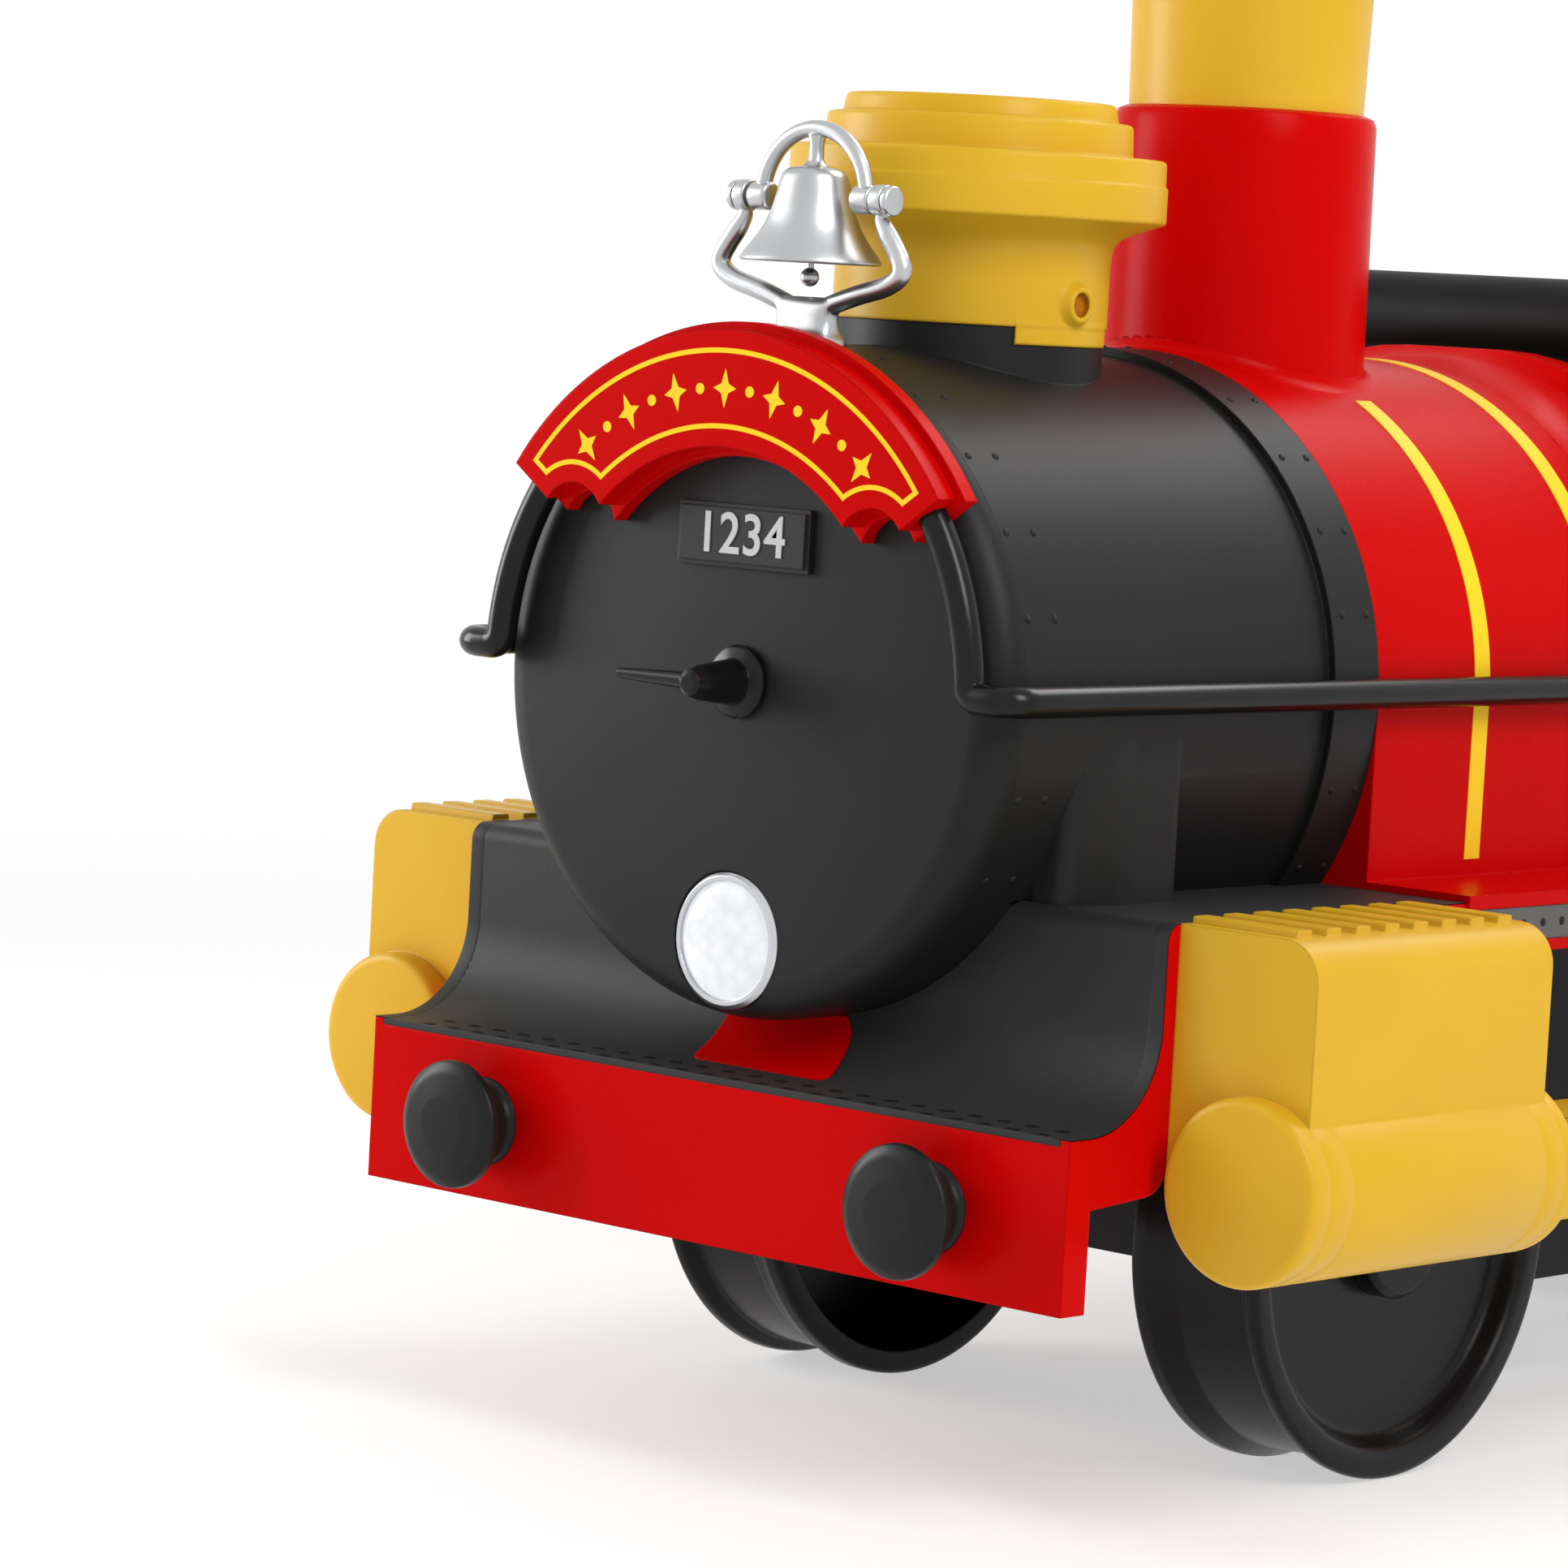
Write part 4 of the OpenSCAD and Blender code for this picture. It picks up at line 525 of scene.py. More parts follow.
STAND_ARM = [(31.0, -4.6), (31.4, -7.2), (34.0, -11.0), (38.4, -16.6), (41.2, -21.4), (40.2, -25.2),
             (34.0, -28.8), (22.0, -32.0), (10.0, -36.0), (4.0, -39.0)]
ARM_THIN, ARM_THICK, ARM_TAPER = 2.3 * MM, 3.4 * MM, 0.16
STAND_BOSS = [(3.05, -2.5), (5.4, -2.5, 0.7), (5.4, 2.5, 0.7), (3.05, 2.5), (3.05, -2.5)]
STAND_FOOT = [(14.0, 9.0, 0.0), (14.0, 9.0, 1.6), (13.2, 7.4, 2.8), (12.2, 5.8, 4.6), (12.0, 5.2, 7.0),
              (12.2, 4.8, 9.6), (13.4, 4.4, 11.8), (15.8, 3.8, 13.6), (14.0, 2.4, 15.2)]
FOOT_SQUARE = 0.6
FOOT_CURVED = 3
SEAT_R = DRUM_R + 0.2 * MM


def bell_pieces():
    """Cast bell with its yoke, stem and trunnions."""
    centre = upright(0, BELL_Y, PIVOT_Z)
    cup = [BELL_CROWN] + smooth_path(BELL_OUTSIDE, 4)[::-1] + BELL_LIP
    cup += smooth_path(BELL_INSIDE, 4)[::-1] + [BELL_CEILING]
    meshes = [lathe_mesh("cup", in_metres(cup), centre, 72)]
    meshes.append(lathe_mesh("stem", in_metres(BELL_STEM), centre, 32))
    arch = [Vector((YOKE_R * math.cos(a), BELL_Y, PIVOT_Z + YOKE_R * math.sin(a)))
            for a in span(0, math.pi, 41)]
    meshes.append(tube_mesh("yoke", arch, YOKE_TUBE, 20))
    profile = in_metres(rounded(TRUNNION_SIDE))
    for side in (1, -1):
        meshes.append(lathe_mesh("trunnion", profile, facing_left(side * YOKE_R, BELL_Y, PIVOT_Z, side), 32))
    casting = join_meshes("bell_casting", meshes)
    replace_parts(make_object("bell_casting", casting, SILVER, "bell_swing_body"), "bell")


def squared(half, part):
    """Coordinate on a rounded rectangle's side, from a cosine or a sine."""
    return half * MM * math.copysign(abs(part) ** FOOT_SQUARE, part)


def bell_stand():
    """Forked bracket that carries the bell's trunnions, on a foot shaped to the drum."""
    arm_top = PIVOT_Z + STAND_ARM[0][1] * MM
    profile = in_metres(rounded(STAND_BOSS))
    meshes = []
    for side in (1, -1):
        path = smooth_path([Vector((side * x * MM, BELL_Y, PIVOT_Z + z * MM)) for x, z in STAND_ARM], 6)
        radii = [min(ARM_THICK, ARM_THIN + ARM_TAPER * (arm_top - p.z)) for p in path]
        meshes.append(tube_mesh("arm", path, radii, 20))
        meshes.append(lathe_mesh("boss", profile, facing_left(side * BOSS_X, BELL_Y, PIVOT_Z, side), 32))
    sections = []
    for half_x, half_y, rise in STAND_FOOT:
        loop = []
        for a in [2 * math.pi * k / 40 for k in range(40)]:
            x, y = squared(half_x, math.cos(a)), squared(half_y, math.sin(a))
            fall = SEAT_R - math.sqrt(SEAT_R ** 2 - x ** 2) if rise < FOOT_CURVED else 0
            loop.append(Vector((x, BELL_Y + y, AXIS_Z + SEAT_R + rise * MM - fall)))
        sections.append(loop)
    meshes.append(ribbon_mesh("foot", sections))
    stand = make_object("bell_stand", join_meshes("bell_stand", meshes), SILVER, sharp=50)
    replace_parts(stand, "bell_bracket")


bell_pieces()
bell_stand()


# Steam dome

DOME_Y = (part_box("steam_dome")[0].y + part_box("steam_dome")[1].y) / 2
DOME_SIDE = [(44.0, 130.0), (44.0, 124.0), (48.0, 124.0, 0.8), (48.0, 144.0), (48.3, 149.5), (49.1, 153.2),
             (51.4, 155.7), (57.0, 158.3), (66.5, 161.6, 1.5), (66.5, 174.0, 0.5), (65.7, 174.8, 0.3),
             (65.6, 183.5, 1.8), (53.8, 183.9, 0.8), (53.3, 195.3, 2.0), (48.1, 195.6, 0.8),
             (46.9, 202.0, 2.0), (0, 202.0)]
DOME_TAB = [(44.05, 126), (44.05, 118), (47.6, 118), (48.0, 118.5), (48.0, 126)]
DOME_BOSS = [(4.2, 3.6), (4.6, 4.4, 0.4), (6.0, 4.4, 1.0), (7.0, 2.6, 1.2), (8.0, 1.2), (8.2, 0.4)]
DOME_WELL = [(4.2, 3.7), (4.2, 1.7), (3.4, 1.55), (0, 1.55)]
DOME_BOSS_X = 46.5 * MM
SCREW_Z = AXIS_Z + 132.5 * MM
TAB_TURNS = [math.radians(a) for a in span(-30, 30, 17)]


def dome_cover():
    """Stepped yellow dome with its tabs and screw bosses, and the bosses' wells in a darker orange that is
    painted shade of their hollows.
    """
    base = Vector((0, DOME_Y, AXIS_Z))
    meshes = [lathe_mesh("dome", in_metres(rounded(DOME_SIDE)), upright(*base), 128)]
    wells = []
    for side in (1, -1):
        sections = []
        for a in TAB_TURNS:
            along = Vector((side * math.cos(a), math.sin(a), 0))
            sections.append([base + along * r * MM + Vector((0, 0, z * MM)) for r, z in DOME_TAB])
        meshes.append(ribbon_mesh("tab", sections))
        place = facing_left(side * DOME_BOSS_X, DOME_Y, SCREW_Z, side)
        meshes.append(lathe_mesh("boss", in_metres(rounded(DOME_BOSS)), place, 40))
        wells.append(lathe_mesh("well", in_metres(DOME_WELL), place, 40))
    cover = make_object("dome_cover", join_meshes("dome_cover", meshes), YELLOW)
    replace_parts(cover, "steam_dome")
    # The wells' darker orange is painted shade.
    make_object("dome_wells", join_meshes("dome_wells", wells), WELL_PAINTED_SHADE)


dome_cover()


# Name board line and ornament

NAME_OUT, NAME_IN = 118 * MM, 79 * MM
NAME_MID = (NAME_OUT + NAME_IN) / 2
NAME_END = math.radians(35)
SCALLOP_R = 15 * MM
LINE_IN = 6 * MM
LINE_W = 1.7 * MM
PAINT_T = 0.25 * MM


def polar(r, angle):
    """Flat point at a radius and an angle."""
    return Vector((r * math.cos(angle), r * math.sin(angle)))


def name_line_half(inset):
    """Half of the board's outline moved in by an inset, from the crown round to the inner crown."""
    outer, inner, reach = NAME_OUT - inset, NAME_IN + inset, SCALLOP_R + inset
    middle = NAME_MID - SCALLOP_R
    along, across = polar(1, NAME_END), polar(1, NAME_END + math.pi / 2)
    first = math.asin(inset / reach)
    last = math.acos((inner ** 2 - middle ** 2 - reach ** 2) / (2 * middle * reach))
    points = [polar(outer, a) for a in span(math.pi / 2, NAME_END + math.asin(inset / outer), 49)]
    for t in span(first, last, 25):
        points.append(along * (middle + reach * math.cos(t)) + across * reach * math.sin(t))
    foot = math.atan2(points[-1].y, points[-1].x)
    return points + [polar(inner, a) for a in span(foot, math.pi / 2, 33)[1:]]


def name_line():
    """Thin yellow line that follows the board's outline."""
    meshes = []
    for side in (1, -1):
        sections = []
        for a, b in zip(name_line_half(LINE_IN), name_line_half(LINE_IN + LINE_W)):
            sections.append([Vector((side * p.x, NAME_FACE - lift, AXIS_Z + p.y))
                             for p, lift in ((a, 0), (a, PAINT_T), (b, PAINT_T), (b, 0))])
        meshes.append(ribbon_mesh("line", sections))
    make_object("name_board_line", join_meshes("name_board_line", meshes), PAINT_YELLOW)


STAR = [(0, 6.5), (1.6, 1.6), (5.2, 0), (1.6, -1.6), (0, -6.5), (-1.6, -1.6), (-5.2, 0), (-1.6, 1.6)]
DOT = [(1.9 * math.cos(math.pi * k / 8), 1.9 * math.sin(math.pi * k / 8)) for k in range(16)]
MARK_PITCH = math.radians(6.6)
MARK_LAST = 6


def name_ornament():
    """Row of stars and dots along the board's middle."""
    meshes = []
    for step in range(-MARK_LAST, MARK_LAST + 1):
        angle = math.pi / 2 + MARK_PITCH * step
        out, along = polar(1, angle), polar(1, angle - math.pi / 2)
        outline = [out * (NAME_MID + v * MM) + along * u * MM for u, v in (DOT if step % 2 else STAR)]
        meshes.append(ribbon_mesh("mark", [[Vector((p.x, NAME_FACE - lift, AXIS_Z + p.y)) for p in outline]
                                           for lift in (0, PAINT_T)]))
    ornament = join_meshes("name_board_ornament", meshes)
    make_object("name_board_ornament", ornament, PAINT_YELLOW)


name_line()
name_ornament()


# Number plate digits

DIGITS = "1234"
PLATE_RISE = 49 * MM
DIGIT_SIZE = 19.5 * MM
DIGIT_HALF = 0.2 * MM
DIGIT_BOLD = 0.25 * MM
DIGIT_SPACING = 1.06


def plate_digits():
    """Raised plain digits on the number plate."""
    curve = bpy.data.curves.new("digits", "FONT")
    curve.body = DIGITS
    curve.size = DIGIT_SIZE
    curve.extrude = DIGIT_HALF
    curve.offset = DIGIT_BOLD
    curve.align_x = "CENTER"
    curve.align_y = "CENTER"
    curve.space_character = DIGIT_SPACING
    mesh = baked_mesh(bpy.data.objects.new("digits", curve))
    mesh.materials.clear()
    mesh.transform(facing_front(0, PLATE_FACE - DIGIT_HALF, AXIS_Z + PLATE_RISE))
    make_object("plate_digits", mesh, DIGIT_WHITE)


plate_digits()


# Apron slots and red patch

LIP_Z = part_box("front_footplate")[0].z + 2.5 * MM
SWEEP_R = 34 * MM
SWEEP_Y = RING_Y - 10 * MM
SLOT_ROWS = (RING_Y - 17 * MM, RING_Y - 7 * MM)
SLOT_PITCH = 12.3 * MM
SLOT_SHIFT = 1 * MM
SLOT_HALF_X, SLOT_HALF_Y = 3.0 * MM, 1.7 * MM
SLOT_LIFTS = (-0.3 * MM, 0.06 * MM)


def apron_point(x, y, lift):
    """Point on the apron's flat lip or its concave sweep, lifted off the surface."""
    if y <= SWEEP_Y:
        return Vector((x, y, LIP_Z + lift))
    angle = math.asin(min(1, (y - SWEEP_Y) / SWEEP_R))
    radius = SWEEP_R - lift
    return Vector((x, SWEEP_Y + radius * math.sin(angle), LIP_Z + SWEEP_R - radius * math.cos(angle)))


def apron_slots():
    """Two rows of small drain slots along the apron's lip, drawn as thin black patches of painted shade in
    place of open holes.
    """
    turns = [2 * math.pi * j / 16 for j in range(16)]
    meshes = []
    for y in SLOT_ROWS:
        for k in range(-11, 13):
            x = k * SLOT_PITCH - SLOT_SHIFT
            loop = [(x + SLOT_HALF_X * math.cos(a), y + SLOT_HALF_Y * math.sin(a)) for a in turns]
            meshes.append(ribbon_mesh("slot", [[apron_point(u, v, lift) for u, v in loop]
                                               for lift in SLOT_LIFTS]))
    # The slots' black is painted shade.
    make_object("apron_slots", join_meshes("apron_slots", meshes), SLOT_PAINTED_SHADE)


PATCH_ROWS = [-0.6, -0.4, 0.1, 0.9, 2.1, 4.4, 8, 12, 16, 18.5, 19.9, 20.7, 21.2, 21.4]
PATCH_COLUMNS = 17
PATCH_CORNER = 5.0
PATCH_RIGHT, PATCH_LEFT = -26, 37.5
PATCH_SLANT = 0.3
PATCH_LIFTS = (-0.4, 0.35)


def apron_patch():
    """Glossy red inset on the sweep under the lamp, with rounded corners."""
    columns, rows = PATCH_COLUMNS, len(PATCH_ROWS)
    grid = []
    for lift in PATCH_LIFTS:
        for row in PATCH_ROWS:
            up = row - PATCH_ROWS[0]
            near = min(up, PATCH_ROWS[-1] - row, PATCH_CORNER)
            inset = PATCH_CORNER - math.sqrt(PATCH_CORNER ** 2 - (PATCH_CORNER - near) ** 2)
            for x in span(PATCH_RIGHT + inset, PATCH_LEFT - PATCH_SLANT * up - inset, columns):
                grid.append(apron_point(x * MM, RING_Y + row * MM, lift * MM))
    n = rows * columns
    faces = []
    for i in range(rows - 1):
        for j in range(columns - 1):
            a = i * columns + j
            faces.append([a, a + 1, a + columns + 1, a + columns])
            faces.append([n + a, n + a + 1, n + a + columns + 1, n + a + columns])
    edge = list(range(columns)) + [columns * (i + 1) - 1 for i in range(1, rows)]
    edge += [n - 1 - j for j in range(1, columns)] + [columns * i for i in range(rows - 2, 0, -1)]
    for k, a in enumerate(edge):
        b = edge[(k + 1) % len(edge)]
        faces.append([a, b, n + b, n + a])
    make_object("apron_patch", make_mesh("apron_patch", grid, faces), RED)


apron_slots()
apron_patch()


# Buffers

BUFFER_X = 103.5 * MM
BUFFER_Z = (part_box("buffer_left")[0].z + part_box("buffer_left")[1].z) / 2
BUFFER_SIDE = [(0, 0), (15.5, 0), (14.0, 1.6, 1.0), (13.5, 3.0, 1.0), (13.5, 12.0, 1.5), (20.5, 13.4, 1.5),
               (22.5, 15.4, 1.2), (22.3, 18.2, 1.6), (19.0, 20.4, 8.0), (10.0, 21.7, 8.0), (0, 22.0)]


def buffers():
    """Mushroom buffers on the beam."""
    profile = in_metres(rounded(BUFFER_SIDE))
    for name, side in (("left", 1), ("right", -1)):
        place = facing_front(side * BUFFER_X, BEAM_Y, BUFFER_Z)
        mesh = lathe_mesh("buffer", profile, place, 72)
        turned = make_object("buffer_turned_" + name, mesh, BUFFER_GREY)
        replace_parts(turned, "buffer_" + name)


buffers()


# Wheels

AXLE_R = (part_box("front_axle")[1].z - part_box("front_axle")[0].z) / 2
AXLE_ROOM = 0.3
WHEEL_BORE = AXLE_R / MM + AXLE_ROOM
WHEEL_SIDE = [(WHEEL_BORE, 0), (14.0, 0, 1.0), (14.0, 41.0, 2.0), (76.0, 41.0, 2.0), (76.0, 0, 1.0),
              (85.0, 0, 2.5), (85.0, 6.5, 2.5), (80.6, 16.5, 3.0), (79.8, 46.0, 2.5), (84.4, 49.5, 3.0),
              (85.0, 55.0, 4.5), (74.0, 55.0, 5.5), (70.5, 46.0, 5.0), (WHEEL_BORE, 46.0), (WHEEL_BORE, 0)]
WHEELS = {"front_wheel_left": "left_front_wheel", "front_wheel_right": "right_front_wheel",
          "rear_wheel_left": "rear_wheelset", "rear_wheel_right": "rear_wheelset"}


def wheels():
    """Wheels with a broad inner flange, a round outer bead and a dished web."""
    profile = in_metres(rounded(WHEEL_SIDE))
    for node, body in WHEELS.items():
        low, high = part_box(node)
        centre = (low + high) / 2
        side = math.copysign(1, centre.x)
        inner = side * min(abs(low.x), abs(high.x))
        mesh = lathe_mesh("wheel", profile, facing_left(inner, centre.y, centre.z, side), 128)
        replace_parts(make_object("moulded_" + node, mesh, WHEEL_BLACK, body), node)


wheels()


# Cylinders

CYL_LOW, CYL_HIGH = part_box("cylinder_left")
CYL_R = 31 * MM
CYL_BAND = 0.5 * MM
CYL_X = CYL_HIGH.x - CYL_R - CYL_BAND
CYL_Z = CYL_LOW.z + CYL_R + CYL_BAND
BLOCK_LOW = Vector((CYL_LOW.x, CYL_LOW.y + 10 * MM, CYL_Z))
BLOCK_HIGH = Vector((CYL_LOW.x + 57 * MM, CYL_HIGH.y - 7 * MM, FOOT_Z))
BLOCK_SOFT = 14 * MM
RIB_COUNT = 8
RIB_FIRST = 9 * MM
RIB_PITCH = 15.8 * MM
RIB_SECTION = [(-4.2, -0.6), (-4.0, 1.8), (-3.4, 2.4), (3.4, 2.4), (4.0, 1.8), (4.2, -0.6)]
RIB_IN, RIB_OVER = 1 * MM, 0.5 * MM
DRUM_SOFT = 3.5
DRUM_GROOVES = [10, 22, -18, -7]
GROOVE_HALF, GROOVE_DEEP = 1.2, 0.35
SIDE_SHARE, END_SHARE = 0.5, 0.42


def block_share(x, _, z):
    """Shares of the outer top edge's radius for the block's edges; the hidden ones stay sharp."""
    if x == 1 and z == 1:
        return 1.0
    if x == 1 and z == 0.5:
        return SIDE_SHARE
    if x == 0.5 and z == 1:
        return END_SHARE
    return 0.0


def rib_mesh(y):
    """Straight rib across the block's top, cut square where the outer edge starts to round."""
    ends = (BLOCK_LOW.x + RIB_IN, BLOCK_HIGH.x - BLOCK_SOFT + RIB_OVER)
    sections = [[Vector((x, y + u * MM, FOOT_Z + v * MM)) for u, v in RIB_SECTION] for x in ends]
    return ribbon_mesh("rib", sections)


def cylinders():
    """Cylinder blocks with large soft edges, ribs on top and a drum with turned lines."""
    length = (CYL_HIGH.y - CYL_LOW.y) / MM
    radius = CYL_R / MM
    side_line = [(0, 0), (radius, 0, DRUM_SOFT)]
    for groove in DRUM_GROOVES:
        d = groove % length
        side_line += [(radius, GROOVE_HALF - d), (radius - GROOVE_DEEP, -d), (radius, -d - GROOVE_HALF)]
    side_line += [(radius, -length, DRUM_SOFT), (0, -length)]
    profile = in_metres(rounded(side_line))
    for name, side in (("left", 1), ("right", -1)):
        meshes = [soft_block_mesh("block", BLOCK_LOW, BLOCK_HIGH, BLOCK_SOFT, block_share)]
        meshes.append(lathe_mesh("drum", profile, facing_front(CYL_X, CYL_LOW.y, CYL_Z), 96))
        meshes += [rib_mesh(BLOCK_LOW.y + RIB_FIRST + k * RIB_PITCH) for k in range(RIB_COUNT)]
        mesh = join_meshes("cylinder_" + name, meshes)
        if side < 0:
            mesh.transform(Matrix.Scale(-1, 4, (1, 0, 0)))
            mesh.flip_normals()
        piece = make_object("moulded_cylinder_" + name, mesh, YELLOW)
        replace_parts(piece, "cylinder_" + name)


cylinders()


# Apron edges and saddle flares

UPRIGHT_Y = SWEEP_Y + SWEEP_R
TOP_SOFT = 6 * MM
EDGE_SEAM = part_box("front_footplate")[1].x - 0.5 * MM
EDGE_IN = EDGE_SEAM - 3 * MM
EDGE_OUT = CYL_LOW.x
EDGE_T = 0.15 * MM


def apron_edges():
    """Grey edge of the apron, carried over the top of the red cheeks."""
    stops = [(Vector((0, BEAM_Y, LIP_Z)), Vector((0, 0, 1)))]
    for a in span(0, math.pi / 2, 17):
        out = Vector((0, -math.sin(a), math.cos(a)))
        stops.append((Vector((0, SWEEP_Y, LIP_Z + SWEEP_R)) - out * SWEEP_R, out))
    for a in span(0, math.pi / 2, 9):
        out = Vector((0, -math.cos(a), math.sin(a)))
        stops.append((Vector((0, UPRIGHT_Y + TOP_SOFT, FOOT_Z - TOP_SOFT)) + out * TOP_SOFT, out))
    stops.append((Vector((0, BOILER_Y, FOOT_Z)), Vector((0, 0, 1))))
    meshes = []
    for side in (1, -1):
        inner, seam, outer = (Vector((side * x, 0, 0)) for x in (EDGE_IN, EDGE_SEAM, EDGE_OUT))
        sections = [[spot + inner - out * EDGE_T, spot + seam + out * EDGE_T, spot + outer + out * EDGE_T,
                     spot + outer - out * 2 * EDGE_T] for spot, out in stops]
        meshes.append(ribbon_mesh("edge", sections))
    make_object("apron_edges", join_meshes("apron_edges", meshes), GREY)


FLARE_PLAN = [(98.0, 29.2), (112.6, 29.2, 8.0), (117.2, 57.0, 70.0), (114.8, 88.0, 12.0), (98.0, 88.0)]
FLARE_MID = Vector((96.0, 58.0))
FLARE_THIN = 0.12
FLARE_TOP = -8.0
FLARE_FLUSH = 114.5
FLARE_SINK = 0.5


def saddle_flares():
    """Curved sides of the saddle, flowing from the drum down to the footplate."""
    low = (FOOT_Z - AXIS_Z) / MM - FLARE_SINK
    meshes = []
    for side in (1, -1):
        sections = []
        for p in rounded(FLARE_PLAN, 8):
            over = max(0, p.x - FLARE_FLUSH)
            loop = [(p.x - over * math.sin(math.pi / 2 * t), p.y, low + (FLARE_TOP - low) * t)
                    for t in span(0, 1, 9)]
            thin = p.lerp(FLARE_MID, FLARE_THIN)
            loop += [(thin.x, thin.y, FLARE_TOP), (thin.x, thin.y, low)]
            sections.append([Vector((side * x * MM, RING_Y + y * MM, AXIS_Z + z * MM)) for x, y, z in loop])
        meshes.append(ribbon_mesh("flare", sections))
    make_object("saddle_flares", join_meshes("saddle_flares", meshes), BLACK, sharp=40)


apron_edges()
saddle_flares()


# Lining on the bunker

TAIL_Y, BUNKER_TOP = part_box("rear_body")[1].y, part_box("rear_body")[1].z
BUNKER_HALF = 125 * MM
BUNKER_LEN = 100 * MM
LINING_W = 4 * MM
LINING_T = 0.3 * MM
LINING_LOW, LINING_DOWN = AXIS_Z - 30 * MM, 48 * MM
LINING_CORNER = 14 * MM
BACK_HALF, SIDE_HALF = 78 * MM, 25 * MM


def lined_panel(centre, across, out, half_w, half_h):
    """Flat yellow line round a panel with rounded corners."""
    up = Vector((0, 0, 1))
    sections = []
    for right, top, start in ((1, 1, 0), (-1, 1, 90), (-1, -1, 180), (1, -1, 270)):
        spot = centre + across * right * (half_w - LINING_CORNER) + up * top * (half_h - LINING_CORNER)
        for degrees in span(start, start + 90, 9):
            a = math.radians(degrees)
            away = across * math.cos(a) + up * math.sin(a)
            inner, outer = spot + away * (LINING_CORNER - LINING_W), spot + away * LINING_CORNER
            sections.append([inner - out * LINING_T, inner + out * LINING_T,
                             outer + out * LINING_T, outer - out * LINING_T])
    return ribbon_mesh("lining", sections, ring=True)


def bunker_lining():
    """Yellow lines on the bunker's sides and back."""
    mid = (LINING_LOW + BUNKER_TOP - LINING_DOWN) / 2
    half_h = (BUNKER_TOP - LINING_DOWN - LINING_LOW) / 2
    side_y = TAIL_Y - BUNKER_LEN / 2
    meshes = [lined_panel(Vector((0, TAIL_Y, mid)), Vector((-1, 0, 0)), Vector((0, 1, 0)), BACK_HALF, half_h)]
    for side in (1, -1):
        meshes.append(lined_panel(Vector((side * BUNKER_HALF, side_y, mid)), Vector((0, side, 0)),
                                  Vector((side, 0, 0)), SIDE_HALF, half_h))
    make_object("bunker_lining", join_meshes("bunker_lining", meshes), PAINT_YELLOW)


bunker_lining()


# Handrails

RAIL_R = 5.3 * MM
RAIL_ARC = 107.5
RAIL_FRONT = -20.0
RAIL_RISE = 4.0
RAIL_X = 126.0
RAIL_END = (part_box("handrail_left")[1].y - RING_Y) / MM
RAIL_CORNER, RAIL_BEND = 5.0, 9.0
RAIL_TAIL = Vector((4, 0, 0))


def turn(centre, radius, first, last, count=8):
    """Points of an arc in a plane, from one angle to another in degrees."""
    angles = [math.radians(a) for a in span(first, last, count + 1)]
    return [(centre[0] + radius * math.cos(a), centre[1] + radius * math.sin(a)) for a in angles]


def handrails():
    """Rails that leave the name board, turn out at the axis and run back to the barrel's flare."""
    top = math.degrees(NAME_END) + 1
    low = math.degrees(math.asin((RAIL_RISE + RAIL_CORNER) / RAIL_ARC))
    path = [Vector((x, RAIL_FRONT, z)) for x, z in turn((0, 0), RAIL_ARC, top, low, 20)]
    corner_x = path[-1].x + RAIL_CORNER
    path += [Vector((x, RAIL_FRONT, z)) for x, z in
             turn((corner_x, RAIL_RISE + RAIL_CORNER), RAIL_CORNER, 180, 270)[1:]]
    out_x = RAIL_X - RAIL_BEND
    path += [Vector((x, y, RAIL_RISE)) for x, y in turn((out_x, RAIL_FRONT + RAIL_BEND), RAIL_BEND, 270, 360)]
    path += [Vector((x, y, RAIL_RISE)) for x, y in
             turn((out_x, RAIL_END - RAIL_R / MM - RAIL_BEND), RAIL_BEND, 0, 90)]
    path.append(path[-1] - RAIL_TAIL)
    for name, side in (("left", 1), ("right", -1)):
        line = [Vector((side * p.x * MM, RING_Y + p.y * MM, AXIS_Z + p.z * MM)) for p in path]
        mesh = tube_mesh("rail", line, RAIL_R, 28)
        rail = make_object("bent_handrail_" + name, mesh, RAIL_BLACK)
        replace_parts(rail, "handrail_" + name)


handrails()


# Handlebar sleeve

GRIP_LOW, GRIP_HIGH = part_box("handlebar_grip")
GRIP_R = (GRIP_HIGH.z - GRIP_LOW.z) / 2
GRIP_BORE = 11.05 * MM
GRIP_SOFT = 2.5 * MM


def grip_sleeve():
    """Smooth soft sleeve with rounded ends."""
    half = (GRIP_HIGH.x - GRIP_LOW.x) / 2
    profile = rounded([(GRIP_BORE, -half), (GRIP_R, -half, GRIP_SOFT), (GRIP_R, half, GRIP_SOFT),
                       (GRIP_BORE, half), (GRIP_BORE, -half)])
    centre = (GRIP_LOW + GRIP_HIGH) / 2
    mesh = lathe_mesh("grip", profile, facing_left(*centre), 64)
    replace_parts(make_object("grip_sleeve", mesh, RUBBER), "handlebar_grip")


grip_sleeve()


# Dots along the side strips

STRIP_LOW, STRIP_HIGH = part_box("valance_strips")
STRIP_START, STRIP_STOP = 6 * MM, 4 * MM
STRIP_PITCH = 11.5 * MM
STRIP_DOT = dome_profile(1.7 * MM, 0.55 * MM)


def strip_rivets():
    """Row of rivet heads along each side strip."""
    z = (STRIP_LOW.z + STRIP_HIGH.z) / 2
    meshes = []
    for side in (1, -1):
        y = STRIP_LOW.y + STRIP_START
        while y < STRIP_HIGH.y - STRIP_STOP:
            place = facing_left(side * (STRIP_HIGH.x - RIVET_SINK), y, z, side)
            meshes.append(lathe_mesh("dot", STRIP_DOT, place, 12))
            y += STRIP_PITCH
    make_object("strip_rivets", join_meshes("strip_rivets", meshes), BLACK)


strip_rivets()


# Stage, camera and light

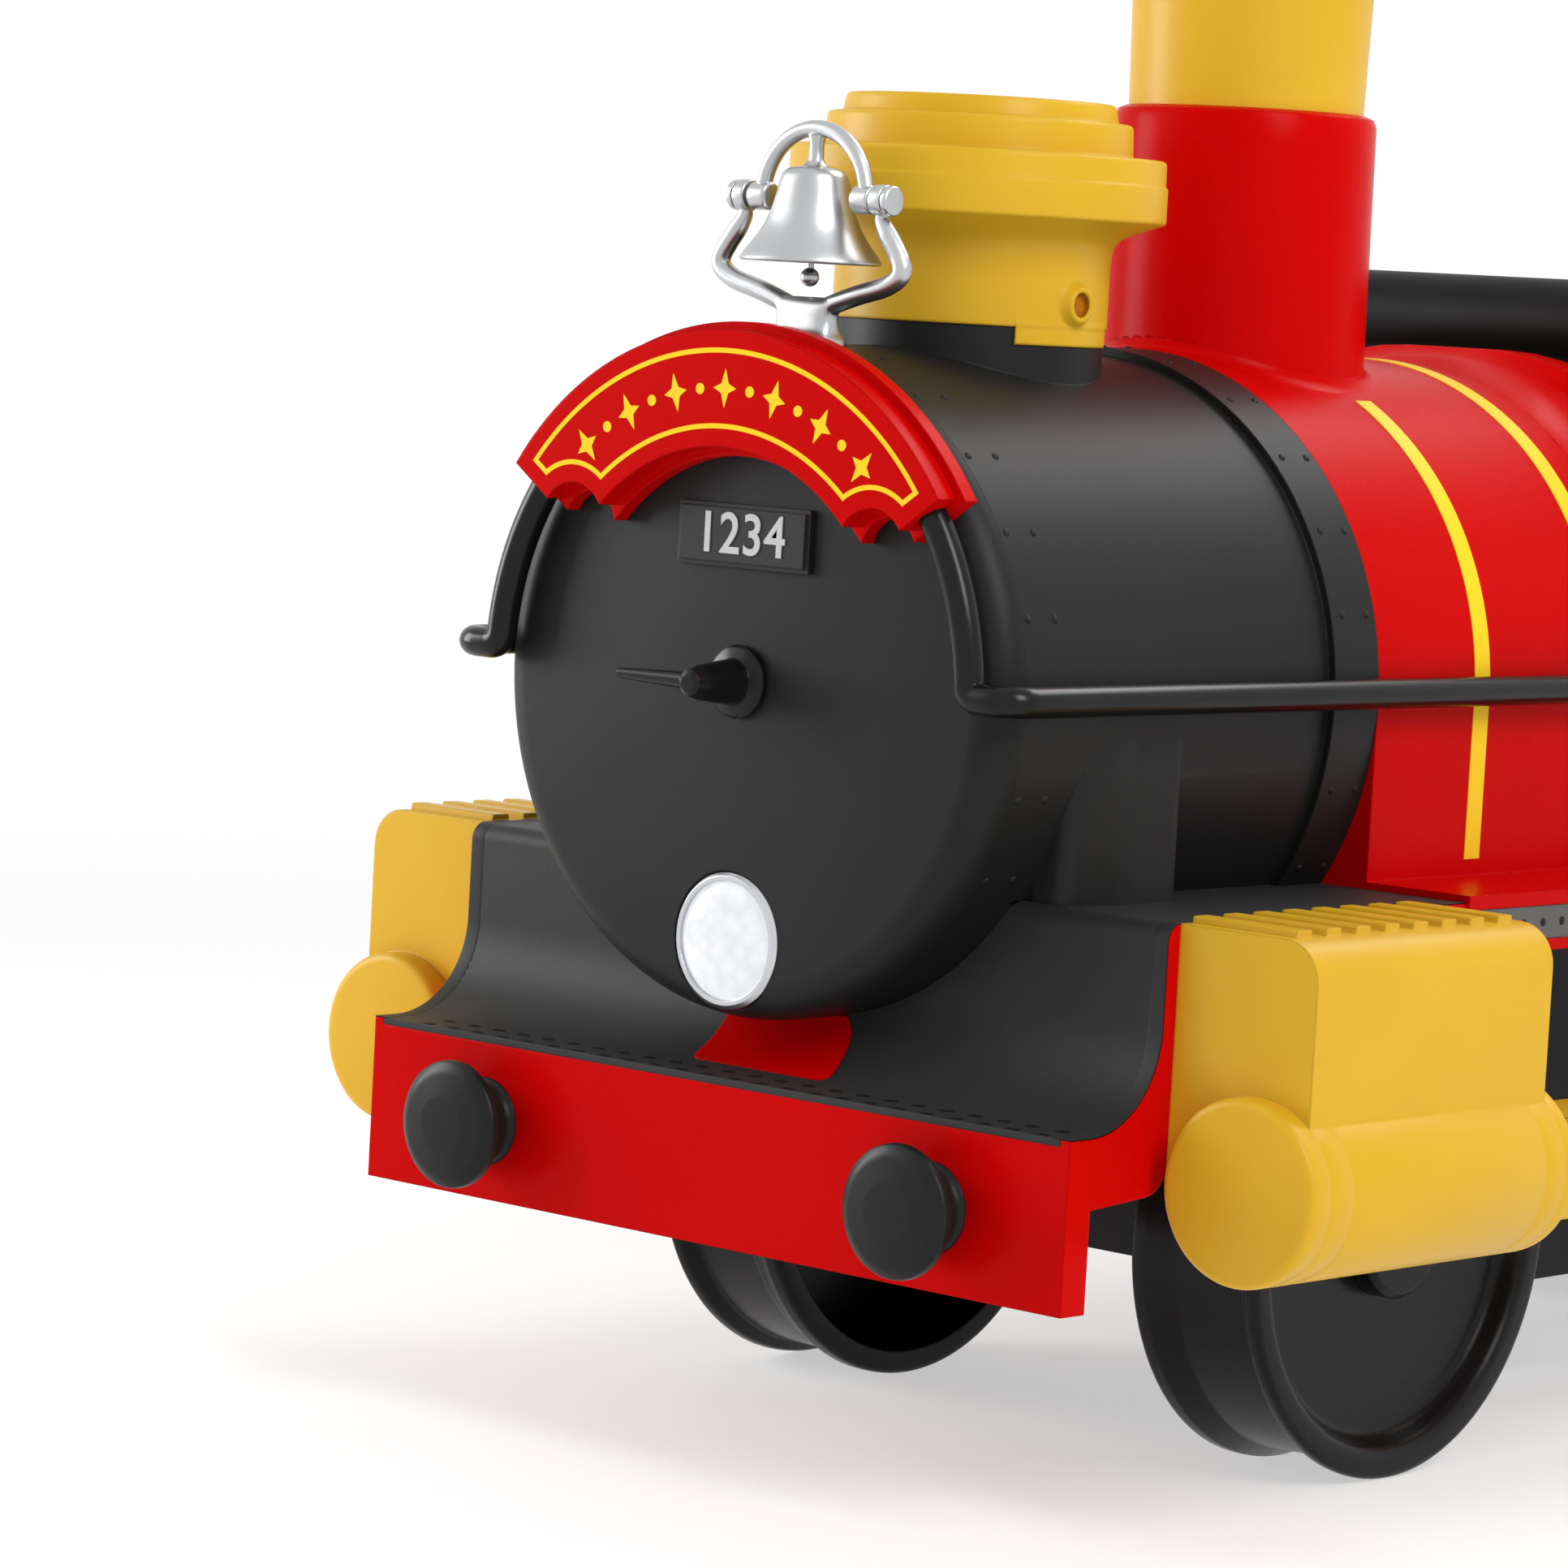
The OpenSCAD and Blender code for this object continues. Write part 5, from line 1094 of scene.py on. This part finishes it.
FLOOR_HALF = 30
FLOOR_NEAR, FLOOR_FAR = 0.55, 2.2
WHITE = (1, 1, 1, 1)
WORLD_LIGHT = 0.36
LAMP_AIM = Vector((0, -0.15, 0.25))
LAMPS = [
    ("key", (2.2, -0.8, 2.0), (0.9, 1.4), 46),
    ("fill", (-1.7, -2.0, 1.5), (1.4, 1.4), 6),
    ("side", (-1.15, -0.85, 0.55), (0.5, 0.7), 11),
    ("rear", (0.4, 1.8, 2.6), (1.8, 1.0), 32),
]


def floor_material():
    """Pale floor that brightens into the white background away from the train."""
    material, tree, shader = new_material("floor_white")
    link = tree.links.new
    place = add_node(tree, "ShaderNodeTexCoord")
    reach = add_node(tree, "ShaderNodeVectorMath", operation="LENGTH")
    link(place.outputs["Object"], reach.inputs[0])
    for socket, near, far in (("Base Color", 0.52, 0.0), ("Emission Strength", 0.53, 1.0)):
        fade = add_node(tree, "ShaderNodeMapRange", interpolation_type="SMOOTHSTEP")
        fade.inputs["From Min"].default_value = FLOOR_NEAR
        fade.inputs["From Max"].default_value = FLOOR_FAR
        fade.inputs["To Min"].default_value = near
        fade.inputs["To Max"].default_value = far
        link(reach.outputs["Value"], fade.inputs["Value"])
        link(fade.outputs["Result"], shader.inputs[socket])
    shader.inputs["Emission Color"].default_value = WHITE
    shader.inputs["Roughness"].default_value = 0.9
    shader.inputs["Specular IOR Level"].default_value = 0.0
    return material


def stage():
    """Wide floor that the train stands on."""
    corners = [(FLOOR_HALF * x, FLOOR_HALF * y, 0) for x, y in ((-1, -1), (1, -1), (1, 1), (-1, 1))]
    mesh = make_mesh("floor", corners, [[0, 1, 2, 3]])
    mesh.materials.append(floor_material())
    floor = bpy.data.objects.new("floor", mesh)
    bpy.context.scene.collection.objects.link(floor)


def studio():
    """White surroundings, full where they are seen or mirrored and dimmer as a light."""
    world = bpy.data.worlds.new("studio")
    bpy.context.scene.world = world
    world.use_nodes = True
    tree = world.node_tree
    link = tree.links.new
    ground = tree.nodes["Background"]
    ground.inputs["Color"].default_value = WHITE
    ground.inputs["Strength"].default_value = WORLD_LIGHT
    seen = add_node(tree, "ShaderNodeBackground", Color=WHITE, Strength=1.0)
    path = add_node(tree, "ShaderNodeLightPath")
    mix = add_node(tree, "ShaderNodeMixShader")
    shown = add_node(tree, "ShaderNodeMath", operation="ADD")
    link(path.outputs["Is Camera Ray"], shown.inputs[0])
    link(path.outputs["Is Glossy Ray"], shown.inputs[1])
    through = add_node(tree, "ShaderNodeMath", operation="ADD", use_clamp=True)
    link(shown.outputs["Value"], through.inputs[0])
    link(path.outputs["Is Transmission Ray"], through.inputs[1])
    link(through.outputs["Value"], mix.inputs["Fac"])
    link(ground.outputs["Background"], mix.inputs[1])
    link(seen.outputs["Background"], mix.inputs[2])
    link(mix.outputs["Shader"], tree.nodes["World Output"].inputs["Surface"])


def lamps():
    """Soft lamps aimed at the train's front half."""
    for name, spot, size, power in LAMPS:
        light = bpy.data.lights.new(name, "AREA")
        light.shape = "RECTANGLE"
        light.size, light.size_y = size
        light.energy = power
        lamp = bpy.data.objects.new(name, light)
        lamp.location = spot
        lamp.rotation_mode = "QUATERNION"
        lamp.rotation_quaternion = (LAMP_AIM - Vector(spot)).to_track_quat("-Z", "Y")
        bpy.context.scene.collection.objects.link(lamp)


CAMERA_FROM_RING = Vector((1328.203, -1455.049, 135.357)) * MM
AZIMUTH, ELEVATION, ROLL = math.radians(42.155), math.radians(4.931), math.radians(3.154)
LENS_MM, SENSOR_MM = 133.763, 36
FAR_CLIP = 100


def photo_camera():
    """Camera of the photograph, placed from the smokebox ring's centre."""
    back = Vector((math.sin(AZIMUTH) * math.cos(ELEVATION), -math.cos(AZIMUTH) * math.cos(ELEVATION),
                   math.sin(ELEVATION)))
    level = Vector((math.cos(AZIMUTH), math.sin(AZIMUTH), 0))
    plumb = back.cross(level)
    right = level * math.cos(ROLL) + plumb * math.sin(ROLL)
    up = plumb * math.cos(ROLL) - level * math.sin(ROLL)
    data = bpy.data.cameras.new("photo_camera")
    data.sensor_width = SENSOR_MM
    data.lens = LENS_MM
    data.clip_end = FAR_CLIP
    camera = bpy.data.objects.new("photo_camera", data)
    facing = Matrix((right, up, back)).transposed().to_4x4()
    camera.matrix_world = Matrix.Translation(Vector((0, RING_Y, AXIS_Z)) + CAMERA_FROM_RING) @ facing
    bpy.context.scene.collection.objects.link(camera)
    bpy.context.scene.camera = camera


stage()
studio()
lamps()
photo_camera()
bpy.context.scene.view_settings.view_transform = "Standard"
